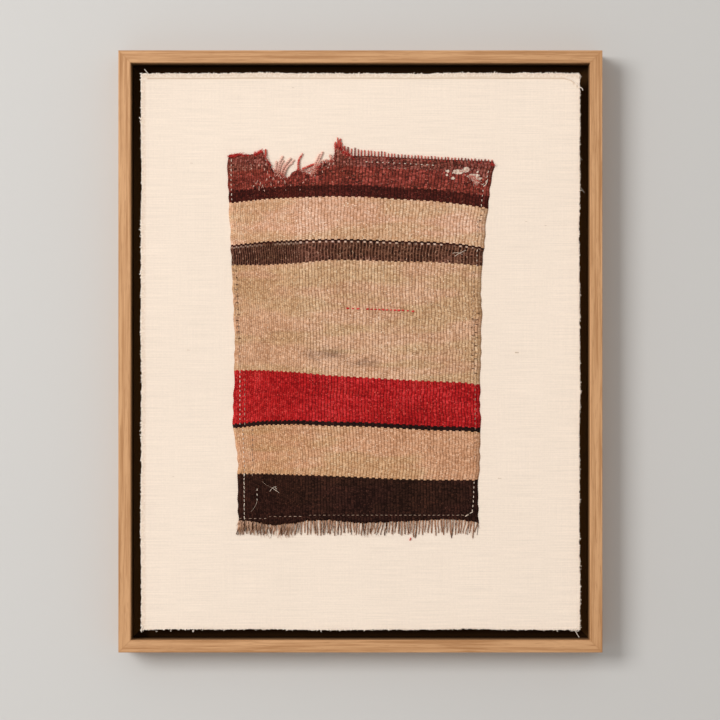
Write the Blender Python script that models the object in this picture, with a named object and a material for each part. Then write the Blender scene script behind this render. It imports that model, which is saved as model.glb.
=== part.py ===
"""A framed kilim fragment: a torn piece of ribbed flat weave, laid on raw-edged canvas in an oak frame.

Metres, +Z up. The front faces -Y and the back lies on the plane y = 0. The origin is the middle of the
top rail's back face, where the frame meets the wall. The tables of edges are in millimetres, measured
from the middle of the frame: across is towards +X and up is towards +Z.
"""

import math
import random
from collections import namedtuple

import bmesh
import bpy
from mathutils import Vector

MM = 0.001

# Clearances
GAP = 0.3 * MM

# Oak frame
FRAME_WIDTH = 402 * MM
FRAME_HEIGHT = 500 * MM
FRAME_DEPTH = 30 * MM
FACE_WIDTH = 10.3 * MM
LEDGE_REACH = 20 * MM
LEDGE_THICKNESS = 6 * MM
OUTER_ARRIS = 0.5 * MM
INNER_ARRIS = 0.9 * MM
ARRIS_STEPS = 3

# Panel
CLOTH_WIDTH = 365.5 * MM
CLOTH_HEIGHT = 463.5 * MM
BOARD_INSET = 4.6 * MM
BOARD_THICKNESS = 16 * MM
BOARD_ARRIS = 0.6 * MM

# Canvas
CLOTH_THICKNESS = 1.2 * MM
CLOTH_COLUMNS = 14
CLOTH_ROWS = 18
CLOTH_EDGE_DROP = 0.5 * MM
CLOTH_WANDER = 0.5 * MM
SLOW_WANDER_RUN = 31 * MM
QUICK_WANDER_RUN = 13 * MM
QUICK_WANDER_SHARE = 0.35

# Kilim
NARROW_RIBS = 30
NARROW_PITCH = 1.85 * MM
WIDE_RIBS = 58
WIDE_PITCH = 2.6 * MM
RIBS = NARROW_RIBS + WIDE_RIBS
CREST_THICKNESS = 2.0 * MM
VALLEY_THICKNESS = 1.5 * MM

# Fringes
EDGE_GAP = 0.4 * MM
TORN_EDGE_GAP = 0.6 * MM
STRIP_HEIGHT = 0.7 * MM
STRIP_THICKNESS = 1.2 * MM
ROOT_SHARE = 0.56

# Threads, in millimetres, with the depth of a thread as a share of its strip's
FRINGE_REACH = -152.4
FRINGE_UNEVENNESS = 0.8
FRINGE_SWAY = 0.7
FRINGE_SWAY_RIBS = 5
FRINGE_SPLAY = 2.2
FRINGE_SPLAY_RIBS = 10
THREAD_SCATTER = 0.25
NARROW_THREAD = 0.9
WIDE_THREAD = 1.25
STUB_WIDTH = 1.2
SHORTEST_STUB = 0.6
MIDDLE_LENGTH_SHARE = 0.55
MIDDLE_LEAN_SHARE = 0.6

# Derived places, as heights over the wall's plane
BOARD_BACK = LEDGE_THICKNESS + GAP
BOARD_FRONT = BOARD_BACK + BOARD_THICKNESS
CLOTH_BACK = BOARD_FRONT + GAP
CLOTH_FRONT = CLOTH_BACK + CLOTH_THICKNESS
KILIM_BACK = CLOTH_FRONT + GAP
CENTRE_HEIGHT = (FACE_WIDTH + LEDGE_REACH) / 2 - FRAME_HEIGHT / 2

Edge = namedtuple("Edge", "up across")
Rim = namedtuple("Rim", "across up")
Thread = namedtuple("Thread", "rib lean_mid rise_mid lean_tip rise_tip width")
Stub = namedtuple("Stub", "across length")
Band = namedtuple("Band", "yarn lower_edge")
Taper = namedtuple("Taper", "width depth")
Colour = namedtuple("Colour", "red green blue")

# A thread's size at its middle and at its tip, as shares of its full width and of the strip's depth
THREAD_TAPERS = [Taper(1.0, 0.85), Taper(0.6, 0.5)]

# Heights at which the ribs are counted off along the kilim's two rims
UPPER_LEVEL = 160
LOWER_LEVEL = -142

# The kilim's left side, from the top down
LEFT_SIDE = [
    Edge(163.7, -109.8),
    Edge(154.0, -110.7),
    Edge(134.0, -109.9),
    Edge(94.2, -108.0),
    Edge(42.7, -105.8),
    Edge(9.5, -104.5),
    Edge(-20.4, -104.9),
    Edge(-60.2, -106.3),
    Edge(-80.2, -103.3),
    Edge(-95.1, -101.6),
    Edge(-112.5, -102.4),
    Edge(-141.2, -101.4),
]

# The kilim's right side, from the top down
RIGHT_SIDE = [
    Edge(157.9, 110.5),
    Edge(154.0, 111.7),
    Edge(149.0, 110.1),
    Edge(139.0, 108.4),
    Edge(111.6, 105.1),
    Edge(76.8, 101.8),
    Edge(54.3, 100.1),
    Edge(34.4, 101.0),
    Edge(-40.3, 99.3),
    Edge(-55.2, 100.1),
    Edge(-90.1, 99.3),
    Edge(-120.0, 97.6),
    Edge(-144.9, 98.5),
]

# The kilim's upper rim, from left to right: a whole corner, the torn place with its peak, and the long
# even edge
UPPER_RIM = [
    Rim(-109.8, 163.7),
    Rim(-92.5, 163.9),
    Rim(-86.8, 164.9),
    Rim(-83.5, 167.7),
    Rim(-81.0, 164.9),
    Rim(-79.6, 160.3),
    Rim(-75.1, 156.9),
    Rim(-73.0, 151.4),
    Rim(-71.0, 149.8),
    Rim(-68.4, 149.6),
    Rim(-65.1, 148.4),
    Rim(-62.3, 145.4),
    Rim(-60.6, 144.4),
    Rim(-58.6, 145.2),
    Rim(-55.6, 149.2),
    Rim(-51.4, 152.3),
    Rim(-47.4, 149.1),
    Rim(-42.9, 147.4),
    Rim(-40.9, 147.8),
    Rim(-35.5, 154.6),
    Rim(-30.5, 157.6),
    Rim(-23.6, 157.6),
    Rim(-21.4, 164.8),
    Rim(-20.6, 172.6),
    Rim(-17.8, 172.9),
    Rim(-16.1, 170.1),
    Rim(-12.4, 166.0),
    Rim(-7.8, 162.8),
    Rim(8.0, 162.8),
    Rim(24.6, 161.8),
    Rim(49.5, 160.6),
    Rim(78.5, 159.4),
    Rim(105.9, 158.5),
    Rim(110.5, 157.9),
]

# The kilim's lower rim, from left to right
LOWER_RIM = [
    Rim(-101.6, -141.2),
    Rim(-93.3, -141.2),
    Rim(-86.7, -142.5),
    Rim(-78.4, -144.2),
    Rim(-70.1, -145.4),
    Rim(-65.9, -144.2),
    Rim(-53.5, -143.3),
    Rim(-46.0, -141.2),
    Rim(-25.2, -140.7),
    Rim(-1.2, -143.1),
    Rim(22.1, -142.3),
    Rim(42.8, -141.4),
    Rim(61.9, -140.3),
    Rim(70.2, -139.8),
    Rim(86.0, -140.7),
    Rim(97.6, -142.6),
]

# Places across at which each weft band's lower edge is given
STATIONS = [-108, -80, -53, -25, 3, 30, 60, 86, 108]

# The weft bands from the top down. A band is cut in two where only the kilim's sides change direction
WEFT_BANDS = [
    Band("maroon", [123.2, 126.3, 127.7, 128.6, 128.2, 126.3, 124.8, 121.8, 118.5]),
    Band("beige", [87.2, 90.2, 91.5, 92.3, 92.0, 90.8, 90.1, 88.1, 84.3]),
    Band("brown", [72.3, 72.3, 73.8, 76.6, 76.4, 75.2, 74.9, 73.1, 70.5]),
    Band("beige", [42, 42, 42, 42, 42, 42, 42, 42, 42]),
    Band("beige", [-16.0, -16.0, -17.6, -20.5, -22.1, -23.8, -25.2, -26.3, -29.5]),
    Band("red", [-61.1, -58.1, -57.5, -58.8, -59.3, -60.8, -62.5, -63.1, -64.6]),
    Band("black", [-63.9, -60.9, -60.3, -61.6, -62.1, -63.6, -65.3, -65.9, -67.4]),
    Band("beige", [-81, -81, -81, -81, -81, -81, -81, -81, -81]),
    Band("beige", [-102.8, -102.8, -103.8, -104.7, -106.0, -107.4, -108.1, -108.1, -108.1]),
]
LOWEST_BAND_YARN = "dark brown"

# Length of the stubs along the even part of the upper rim
STUB_LENGTHS = [
    Stub(-19.0, 4.6),
    Stub(-15.0, 3.4),
    Stub(-7.0, 6.1),
    Stub(3.8, 4.8),
    Stub(14.6, 4.2),
    Stub(20.4, 3.4),
    Stub(30.4, 2.7),
    Stub(44.5, 2.0),
    Stub(84.3, 1.4),
    Stub(107.6, 0.7),
]

# Loose threads at the torn place. Lean is to the right and rise is up, both from the thread's root
TORN_THREADS = [
    Thread(15, 0.0, 5.0, 0.3, 9.0, 0.9),
    Thread(19, 0.4, 4.0, 0.7, 8.2, 0.8),
    Thread(20, 1.6, 6.0, 4.2, 12.2, 0.9),
    Thread(22, 3.4, 6.4, 7.6, 11.8, 0.9),
    Thread(23, 2.8, 5.2, 6.9, 9.5, 0.8),
    Thread(29, -0.5, 5.6, 2.9, 12.0, 0.8),
    Thread(30, 3.2, 2.4, 5.6, 3.4, 0.9),
    Thread(32, 2.4, 8.0, 7.6, 16.0, 0.9),
    Thread(34, 1.5, 6.8, 5.4, 13.6, 0.8),
    Thread(36, 0.5, 1.6, 0.8, 2.8, 0.8),
    Thread(37, 0.9, 2.2, 1.6, 3.6, 0.8),
]

# Ribs where the strips start and end
FIRST_TORN_RIB = 14
LAST_TORN_RIB = 38
FIRST_STUB_RIB = 41

WOOD_ROUGHNESS = 0.5
CLOTH_ROUGHNESS = 0.95
OAK = Colour(0.60, 0.33, 0.16)
BOARD_BLACK = Colour(0.012, 0.008, 0.006)
CANVAS = Colour(0.90, 0.78, 0.66)
WARP_GREY = Colour(0.36, 0.26, 0.18)
WARP_RED = Colour(0.22, 0.04, 0.03)
YARNS = {
    "maroon": Colour(0.11, 0.025, 0.020),
    "beige": Colour(0.52, 0.35, 0.20),
    "brown": Colour(0.058, 0.030, 0.022),
    "red": Colour(0.46, 0.012, 0.016),
    "black": Colour(0.012, 0.011, 0.010),
    "dark brown": Colour(0.024, 0.011, 0.010),
}


def clear_scene():
    for obj in list(bpy.data.objects):
        bpy.data.objects.remove(obj)


def material(name, colour, roughness):
    """A plain finish with no metal in it."""
    finish = bpy.data.materials.new(name)
    finish.use_nodes = True
    shader = finish.node_tree.nodes["Principled BSDF"]
    shader.inputs["Base Color"].default_value = (*colour, 1)
    shader.inputs["Roughness"].default_value = roughness
    shader.inputs["Metallic"].default_value = 0
    finish.diffuse_color = (*colour, 1)
    return finish


def object_from(shape, name, *finishes):
    """Turns a bmesh into a scene object with its faces pointing out."""
    bmesh.ops.recalc_face_normals(shape, faces=shape.faces)
    mesh = bpy.data.meshes.new(name)
    shape.to_mesh(mesh)
    shape.free()
    for finish in finishes:
        mesh.materials.append(finish)
    obj = bpy.data.objects.new(name, mesh)
    bpy.context.collection.objects.link(obj)
    return obj


def along(table, key, value, wanted):
    """Reads a table of straight stretches: the wanted column where the key column has this value."""
    rows = sorted(table, key=lambda row: getattr(row, key))
    for low, high in zip(rows, rows[1:]):
        if value <= getattr(high, key):
            break
    start, end = getattr(low, key), getattr(high, key)
    share = min(1, max(0, (value - start) / (end - start)))
    return getattr(low, wanted) * (1 - share) + getattr(high, wanted) * share


def arc(centre, radius, start, steps):
    """Quarter-turn of section points round a centre, anticlockwise from the start angle."""
    points = []
    for step in range(steps + 1):
        angle = start + math.pi / 2 * step / steps
        points.append((centre[0] + radius * math.cos(angle), centre[1] + radius * math.sin(angle)))
    return points


def wall_section():
    """The moulding's face and outer wall as (inward, forward) points."""
    inner = arc((FACE_WIDTH - INNER_ARRIS, FRAME_DEPTH - INNER_ARRIS), INNER_ARRIS, 0, ARRIS_STEPS)
    outer = arc((OUTER_ARRIS, FRAME_DEPTH - OUTER_ARRIS), OUTER_ARRIS, math.pi / 2, ARRIS_STEPS)
    return [(0, 0), (FACE_WIDTH, 0), (FACE_WIDTH, LEDGE_THICKNESS)] + inner + outer


def ledge_section():
    """The ledge that carries the panel, as (inward, forward) points. It shares one side with the wall."""
    ledge_edge = FACE_WIDTH + LEDGE_REACH
    return [(FACE_WIDTH, 0), (ledge_edge, 0), (ledge_edge, LEDGE_THICKNESS), (FACE_WIDTH, LEDGE_THICKNESS)]


def rail(name, length, reach, quarter_turns, finish):
    """One mitred moulding. It is drawn as the top rail and then turned about the frame's middle."""
    mitre_gap = GAP / math.sqrt(2)
    wall = wall_section()
    ledge = ledge_section()
    outline = wall[:1] + ledge + wall[3:]
    shape = bmesh.new()
    ends = []
    for side in (-1, 1):
        corners = {}
        for inward, forward in outline:
            run = side * (length / 2 - inward - mitre_gap)
            corners[inward, forward] = shape.verts.new((run, -forward, reach - inward))
        ends.append(corners)
        for section in (wall, ledge):
            shape.faces.new([corners[point] for point in section])
    for point, following in zip(outline, outline[1:] + outline[:1]):
        shape.faces.new((ends[0][point], ends[1][point], ends[1][following], ends[0][following]))
    obj = object_from(shape, name, finish)
    obj.location = (0, 0, CENTRE_HEIGHT)
    obj.rotation_euler = (0, quarter_turns * math.pi / 2, 0)
    return obj


def frame_rails(finish):
    rail("rail_top", FRAME_WIDTH, FRAME_HEIGHT / 2, 0, finish)
    rail("rail_right", FRAME_HEIGHT, FRAME_WIDTH / 2, 1, finish)
    rail("rail_bottom", FRAME_WIDTH, FRAME_HEIGHT / 2, 2, finish)
    rail("rail_left", FRAME_HEIGHT, FRAME_WIDTH / 2, 3, finish)


def mount_board(finish):
    shape = bmesh.new()
    bmesh.ops.create_cube(shape, size=1)
    size = Vector((CLOTH_WIDTH - 2 * BOARD_INSET, BOARD_THICKNESS, CLOTH_HEIGHT - 2 * BOARD_INSET))
    bmesh.ops.scale(shape, vec=size, verts=shape.verts)
    obj = object_from(shape, "mount_board", finish)
    obj.location = (0, -(BOARD_BACK + BOARD_FRONT) / 2, CENTRE_HEIGHT)
    bevel = obj.modifiers.new("arris", "BEVEL")
    bevel.width = BOARD_ARRIS
    bevel.segments = 1
    return obj


def closed_sheet(name, front, back, row_finishes):
    """A sheet from two grids of points, each a list of rows from the bottom up, left to right.

    row_finishes holds the finish of each stretch between two rows.
    """
    shape = bmesh.new()
    sides = []
    for grid in (front, back):
        sides.append([[shape.verts.new(point) for point in row] for row in grid])
    rows = len(front)
    columns = len(front[0])
    finishes = list(dict.fromkeys(row_finishes))

    def add_face(row, *corners):
        face = shape.faces.new(corners)
        face.material_index = finishes.index(row_finishes[row])

    for grid in sides:
        for row in range(rows - 1):
            for column in range(columns - 1):
                low, high = grid[row], grid[row + 1]
                add_face(row, low[column], low[column + 1], high[column + 1], high[column])
    outer, inner = sides
    for row in (0, rows - 1):
        for column in range(columns - 1):
            following = column + 1
            corners = (outer[row][column], outer[row][following], inner[row][following], inner[row][column])
            add_face(min(row, rows - 2), *corners)
    for column in (0, columns - 1):
        for row in range(rows - 1):
            above = row + 1
            add_face(row, outer[row][column], outer[above][column], inner[above][column], inner[row][column])
    return object_from(shape, name, *finishes)


def cloth_stations(size, count):
    """Places along one side of the canvas: its raw edge, the panel's edge and even steps between."""
    half = size / 2
    inner = half - BOARD_INSET
    steps = [-inner + 2 * inner * step / (count - 3) for step in range(count - 2)]
    return [-half] + steps + [half]


def cloth_wander(place, phase):
    """How far the raw edge wanders out of straight at a place along it."""
    slow = math.sin(place / SLOW_WANDER_RUN + phase)
    quick = math.sin(place / QUICK_WANDER_RUN + 2 * phase)
    return CLOTH_WANDER * (slow + (quick - slow) * QUICK_WANDER_SHARE)


def backing_cloth(finish):
    columns = cloth_stations(CLOTH_WIDTH, CLOTH_COLUMNS)
    rows = cloth_stations(CLOTH_HEIGHT, CLOTH_ROWS)
    front = []
    back = []
    for row, up in enumerate(rows):
        front_row = []
        back_row = []
        for column, across in enumerate(columns):
            side = (column == CLOTH_COLUMNS - 1) - (column == 0)
            end = (row == CLOTH_ROWS - 1) - (row == 0)
            x = across + side * cloth_wander(up, 1 + side)
            z = CENTRE_HEIGHT + up + end * cloth_wander(across, 3 + end)
            drop = CLOTH_EDGE_DROP if side or end else 0
            front_row.append((x, -CLOTH_FRONT + drop, z))
            back_row.append((x, -CLOTH_BACK + drop, z))
        front.append(front_row)
        back.append(back_row)
    return closed_sheet("backing_cloth", front, back, [finish] * (CLOTH_ROWS - 1))


def rib_share(rib):
    """How far across the kilim a rib position lies, from 0 at the left side to 1 at the right."""
    narrow = min(rib, NARROW_RIBS) * NARROW_PITCH
    wide = max(rib - NARROW_RIBS, 0) * WIDE_PITCH
    return (narrow + wide) / (NARROW_RIBS * NARROW_PITCH + WIDE_RIBS * WIDE_PITCH)


def side_to_side(rib, up):
    """Distance across, in millimetres, of a rib position at a height in millimetres."""
    left = along(LEFT_SIDE, "up", up, "across")
    right = along(RIGHT_SIDE, "up", up, "across")
    return left + (right - left) * rib_share(rib)


def upper_edge(rib):
    """The woven edge of the solid at the top, as (across, up) in metres. The strips stand off it."""
    across = side_to_side(rib, UPPER_LEVEL)
    strip = (EDGE_GAP + STRIP_HEIGHT) if rib >= FIRST_TORN_RIB else 0
    return across * MM, along(UPPER_RIM, "across", across, "up") * MM - strip


def lower_edge(rib):
    """The woven edge of the solid at the bottom, as (across, up) in metres."""
    across = side_to_side(rib, LOWER_LEVEL)
    return across * MM, along(LOWER_RIM, "across", across, "up") * MM + EDGE_GAP + STRIP_HEIGHT


def band_edge(band, rib):
    """A weft band's lower edge at a rib position, as (across, up) in metres."""
    edge = [Rim(across, up) for across, up in zip(STATIONS, band.lower_edge)]
    level = sum(band.lower_edge) / len(band.lower_edge)
    up = along(edge, "across", side_to_side(rib, level), "up")
    return side_to_side(rib, up) * MM, up * MM


def kilim():
    """The ribbed weave: a valley at each whole rib position, and a crest half-way to the next."""
    positions = [step / 2 for step in range(2 * RIBS + 1)]
    outline = [[upper_edge(rib) for rib in positions]]
    for band in WEFT_BANDS:
        outline.append([band_edge(band, rib) for rib in positions])
    outline.append([lower_edge(rib) for rib in positions])
    outline.reverse()
    front = []
    back = []
    for row in outline:
        front_row = []
        for column, (across, up) in enumerate(row):
            thickness = CREST_THICKNESS if column % 2 else VALLEY_THICKNESS
            front_row.append((across, -KILIM_BACK - thickness, CENTRE_HEIGHT + up))
        front.append(front_row)
        back.append([(across, -KILIM_BACK, CENTRE_HEIGHT + up) for across, up in row])
    finishes = {yarn: material(yarn, colour, CLOTH_ROUGHNESS) for yarn, colour in YARNS.items()}
    yarns = [band.yarn for band in WEFT_BANDS] + [LOWEST_BAND_YARN]
    return closed_sheet("kilim", front, back, [finishes[yarn] for yarn in reversed(yarns)])


def edge_normals(points, outward):
    """For each point of an edge, the direction that moves its neighbouring stretches out evenly."""
    normals = []
    for index, point in enumerate(points):
        stretches = []
        for first, second in ((index - 1, index), (index, index + 1)):
            if first < 0 or second == len(points):
                continue
            run = (points[second] - points[first]).normalized()
            stretches.append(Vector((-run.y, run.x)) * outward)
        mean = sum(stretches, Vector((0, 0))).normalized()
        normals.append(mean / max(0.5, mean.dot(stretches[0])))
    return normals


def fringe(name, edge, gap, ribs, threads, outward, finish):
    """A narrow strip that follows a woven edge, with threads standing out of it as one closed body.

    edge gives the woven edge at a rib position, gap is how far the strip stands off it, ribs are the
    strip's first and last positions, and outward is 1 where the threads point up and -1 where they
    point down.
    """
    half_root = ROOT_SHARE / 2
    by_rib = {thread.rib: thread for thread in threads}
    stations = [(float(ribs[0]), None)]
    for rib in range(ribs[0], ribs[1]):
        if rib in by_rib:
            stations.append((rib + 0.5 - half_root, rib))
            stations.append((rib + 0.5 + half_root, None))
        else:
            stations.append((rib + 0.5, None))
        stations.append((rib + 1.0, None))
    points = [Vector(edge(position)) for position, rib in stations]
    normals = edge_normals(points, outward)

    shape = bmesh.new()
    strip_back = -KILIM_BACK
    strip_front = -KILIM_BACK - STRIP_THICKNESS
    sections = []
    for point, normal in zip(points, normals):
        near = point + normal * gap
        far = point + normal * (gap + STRIP_HEIGHT)
        corners = ((near, strip_front), (near, strip_back), (far, strip_back), (far, strip_front))
        section = [shape.verts.new((flat.x, y, CENTRE_HEIGHT + flat.y)) for flat, y in corners]
        sections.append(section)
    shape.faces.new(sections[0])
    shape.faces.new(sections[-1])
    for index, (first, second) in enumerate(zip(sections, sections[1:])):
        for side in (0, 1, 3):
            following = (side + 1) % 4
            shape.faces.new((first[side], second[side], second[following], first[following]))
        rib = stations[index][1]
        root = (first[3], second[3], second[2], first[2])
        if rib is None:
            shape.faces.new(root)
        else:
            grow_thread(shape, root, by_rib[rib])
    return object_from(shape, name, finish)


def grow_thread(shape, root, thread):
    """Draws one four-sided thread out of its root face, through its middle to its blunt tip."""
    left, right = root[0].co, root[1].co
    base = Vector(((left.x + right.x) / 2, (left.z + right.z) / 2))
    tangent = Vector((right.x - left.x, right.z - left.z))
    middle = base + Vector((thread.lean_mid, thread.rise_mid)) * MM
    tip = base + Vector((thread.lean_tip, thread.rise_tip)) * MM
    ring = list(root)
    for start, end, taper in zip((base, middle), (middle, tip), THREAD_TAPERS):
        run = (end - start).normalized()
        across = Vector((run.y, -run.x))
        if across.dot(tangent) < 0:
            across = -across
        half = across * (thread.width * MM * taper.width / 2)
        back = -KILIM_BACK
        front = back - STRIP_THICKNESS * taper.depth
        corners = ((end - half, front), (end + half, front), (end + half, back), (end - half, back))
        following = [shape.verts.new((flat.x, y, flat.y)) for flat, y in corners]
        for side in range(4):
            after = (side + 1) % 4
            shape.faces.new((ring[side], ring[after], following[after], following[side]))
        ring = following
    shape.faces.new(ring)


def lower_fringe(finish):
    """Warp ends below the last woven row: matted and splayed at the left, even and slanting elsewhere."""
    chance = random.Random("lower fringe")
    threads = []
    for rib in range(RIBS):
        splay = FRINGE_SPLAY * max(0, 1 - rib / FRINGE_SPLAY_RIBS)
        sway = FRINGE_SWAY * math.sin(rib / FRINGE_SWAY_RIBS)
        lean = sway - splay + chance.uniform(-1, 1) * THREAD_SCATTER
        root = (lower_edge(rib + 0.5)[1] - EDGE_GAP - STRIP_HEIGHT) / MM
        fall = FRINGE_REACH - root + chance.uniform(-1, 1) * FRINGE_UNEVENNESS
        width = NARROW_THREAD if rib < NARROW_RIBS else WIDE_THREAD
        middle = (lean * MIDDLE_LEAN_SHARE, fall * MIDDLE_LENGTH_SHARE)
        threads.append(Thread(rib, *middle, lean, fall, width))
    return fringe("fringe_bottom", lower_edge, EDGE_GAP, (0, RIBS), threads, -1, finish)


def upper_fringe(finish):
    """Warp stubs above the first woven row, long by the torn place and dying out to the right."""
    chance = random.Random("upper fringe")
    threads = []
    for rib in range(FIRST_STUB_RIB, RIBS):
        across = side_to_side(rib + 0.5, UPPER_LEVEL)
        rise = along(STUB_LENGTHS, "across", across, "length") - STRIP_HEIGHT / MM
        rise = max(rise * chance.uniform(0.9, 1.1), SHORTEST_STUB)
        lean = chance.uniform(-1, 1) * THREAD_SCATTER
        middle = (lean * MIDDLE_LEAN_SHARE, rise * MIDDLE_LENGTH_SHARE)
        threads.append(Thread(rib, *middle, lean, rise, STUB_WIDTH))
    return fringe("fringe_top", upper_edge, EDGE_GAP, (FIRST_STUB_RIB, RIBS), threads, 1, finish)


def torn_threads(finish):
    ribs = (FIRST_TORN_RIB, LAST_TORN_RIB)
    return fringe("torn_threads", upper_edge, TORN_EDGE_GAP, ribs, TORN_THREADS, 1, finish)


def build():
    clear_scene()
    frame_rails(material("oak", OAK, WOOD_ROUGHNESS))
    mount_board(material("board", BOARD_BLACK, WOOD_ROUGHNESS))
    backing_cloth(material("canvas", CANVAS, CLOTH_ROUGHNESS))
    kilim()
    lower_fringe(material("warp_grey", WARP_GREY, CLOTH_ROUGHNESS))
    red_warp = material("warp_red", WARP_RED, CLOTH_ROUGHNESS)
    upper_fringe(red_warp)
    torn_threads(red_warp)


build()
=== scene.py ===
"""The looks of the framed kilim fragment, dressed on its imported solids.

Metres, +Z up. The front faces -Y and the wall's plane is y = 0. The tables of places are in millimetres
about the frame's middle: across is towards +X and up is towards +Z.
"""

import math
import random
from collections import namedtuple

import bmesh
import bpy
import numpy as np
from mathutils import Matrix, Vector


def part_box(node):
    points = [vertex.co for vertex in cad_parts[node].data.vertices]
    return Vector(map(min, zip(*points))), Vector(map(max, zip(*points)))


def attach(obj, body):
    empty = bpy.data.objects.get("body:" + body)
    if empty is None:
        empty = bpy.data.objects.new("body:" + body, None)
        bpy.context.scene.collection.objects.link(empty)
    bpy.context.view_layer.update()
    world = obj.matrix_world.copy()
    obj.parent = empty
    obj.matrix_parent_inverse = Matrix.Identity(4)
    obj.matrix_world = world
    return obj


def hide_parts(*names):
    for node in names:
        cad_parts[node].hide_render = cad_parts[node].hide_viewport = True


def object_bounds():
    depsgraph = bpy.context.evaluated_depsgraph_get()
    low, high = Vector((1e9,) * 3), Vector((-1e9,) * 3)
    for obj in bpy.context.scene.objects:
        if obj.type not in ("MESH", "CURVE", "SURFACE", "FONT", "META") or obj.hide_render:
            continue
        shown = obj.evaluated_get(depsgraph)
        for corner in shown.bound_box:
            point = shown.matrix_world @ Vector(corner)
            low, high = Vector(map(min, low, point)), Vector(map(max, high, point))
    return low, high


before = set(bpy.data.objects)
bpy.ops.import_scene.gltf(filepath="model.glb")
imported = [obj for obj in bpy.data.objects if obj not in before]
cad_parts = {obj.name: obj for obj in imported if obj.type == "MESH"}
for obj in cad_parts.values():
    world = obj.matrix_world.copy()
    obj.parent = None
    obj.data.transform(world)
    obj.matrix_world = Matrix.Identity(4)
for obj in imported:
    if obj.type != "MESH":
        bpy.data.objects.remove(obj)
CAD_BOX = [list(corner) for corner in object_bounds()]

MM = 0.001

# Frame, as in the solids
FRAME_WIDTH = 402 * MM
FRAME_HEIGHT = 500 * MM
FRAME_DEPTH = 30 * MM
FACE_WIDTH = 10.3 * MM
GLUE_WIDTH = 0.3 * MM
CENTRE_HEIGHT = (CAD_BOX[0][2] + CAD_BOX[1][2]) / 2

# Depths in front of the wall's plane, taken from the solids they replace
CLOTH_FRONT = -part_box("backing_cloth")[0].y
CLOTH_THICKNESS = 1.2 * MM
KILIM_BACK = -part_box("kilim")[1].y
KILIM_FRONT = -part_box("kilim")[0].y

# Canvas
CLOTH_WIDTH = 365.5 * MM
CLOTH_HEIGHT = 463.5 * MM
OVERHANG = 4.6 * MM
OVERHANG_DROP = 0.3 * MM
CLOTH_WANDER = 0.5 * MM
SLOW_WANDER_RUN = 31 * MM
QUICK_WANDER_RUN = 13 * MM
QUICK_WANDER_SHARE = 0.35
RAG = 0.06 * MM
RAG_RUN = 0.56 * MM
FRAY = 0.36 * MM
EDGE_STEP = 0.55 * MM
EDGE_STEPS = 14
FIELD_STEP = 2.6 * MM
EDGE_FIBRE_STEP = 0.62 * MM
# How much darker and yellower the canvas is where it hangs over at its upper and left edges
UPPER_EDGE_DARKENING = 0.7
LEFT_EDGE_DARKENING = 0.6
CREASE_DEPTH = 0.3 * MM
CREASE_HALF_WIDTH = 0.7 * MM
CLOTH_ROLL = 0.12 * MM
ROLL_RUN_ACROSS = 47 * MM
ROLL_RUN_UP = 61 * MM
EDGE_ROLL = 0.12 * MM
EDGE_ROLL_RUN = 8.5 * MM

# Kilim, its weave in millimetres
NARROW_RIBS = 30
NARROW_PITCH = 1.85
WIDE_RIBS = 58
WIDE_PITCH = 2.6
RIBS = NARROW_RIBS + WIDE_RIBS
COLUMNS_PER_RIB = 2
WEFT_STEP = 0.75
DOTS_BELOW_LINE = 0.5
SHEET_DROP = 0.22 * MM
VALLEY_HEIGHT = 1.57 * MM
CREST_HEIGHT = 2.07 * MM
BEAD_HEIGHT = 0.10 * MM
BEAD_UNEVENNESS = 0.22 * MM
COCKLE_HEIGHT = 0.22 * MM
COCKLE_RUN = 26 * MM
SELVEDGE_TURN = 0.28
BORDER_THICKNESS = 0.12
BORDER_RUN = 2.2
SIDE_WANDER = 0.5
RIB_WANDER = 0.13
SCALLOP = 0.4
TEAR_JAG = 1.1
LOWER_JAG = 0.55
UPPER_LEVEL = 160
LOWER_LEVEL = -142
FIRST_TORN_RIB = 14
LAST_TORN_RIB = 40
DARK_MAROON_ROWS = 13
WORN_MAROON_ROW = 34
LOWEST_BAND = "dark brown"

# Kilim threads
MATTED_RIBS = 34
SPLAYED_RIBS = 10
FRINGE_LEVEL = -152.3
LONG_END_RIBS = (66, 67, 79, 86)
LONG_END_EXTRA = 2.4
NARROW_END_RADIUS = 0.46
WIDE_END_RADIUS = 0.58
FRINGE_FIBRES = 460
SEAM_SINK = 0.22 * MM
STITCH_RISE = 0.35 * MM

# Room
CAMERA_DISTANCE = 1.75
VIEW_WIDTH = 597.7 * MM
VIEW_ASIDE = -0.33 * MM
VIEW_DOWN = 7.1 * MM
SENSOR = 36
KEY_PLACE = (-2.78, -3.08, 0.94)
KEY_WIDTH = 2.38
KEY_HEIGHT = 1.63
KEY_POWER = 178
FILL_COLOUR = (1.0, 0.985, 0.97, 1)
FILL_STRENGTH = 0.63
BACK_PLACE = (1.2, 2.2, 0.9)
BACK_SIZE = 1.5
BACK_POWER = 30
WALL_GAP = 0.3 * MM
WALL_REACH = 3
WALL_RISE = 2.2
FLOOR_REACH = 6
FLOOR_DROP = 0.95

Edge = namedtuple("Edge", "up across")
Rim = namedtuple("Rim", "across up")
Band = namedtuple("Band", "yarn lower_edge")
Colour = namedtuple("Colour", "red green blue")
Yarn = namedtuple("Yarn", "main light dark gap fleck")
Thread = namedtuple("Thread", "root tip other contrast", defaults=[0.3])
Beads = namedtuple("Beads", "row odd wide from_valley from_gap")
Strand = namedtuple("Strand", "points thick tip pick")
Loose = namedtuple("Loose", "points thick pick")
Tuft = namedtuple("Tuft", "start end lean rise count")
Patch = namedtuple("Patch", "across up half_width half_height")
Sewing = namedtuple("Sewing", "seams spacing length radius yarn")

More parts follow.
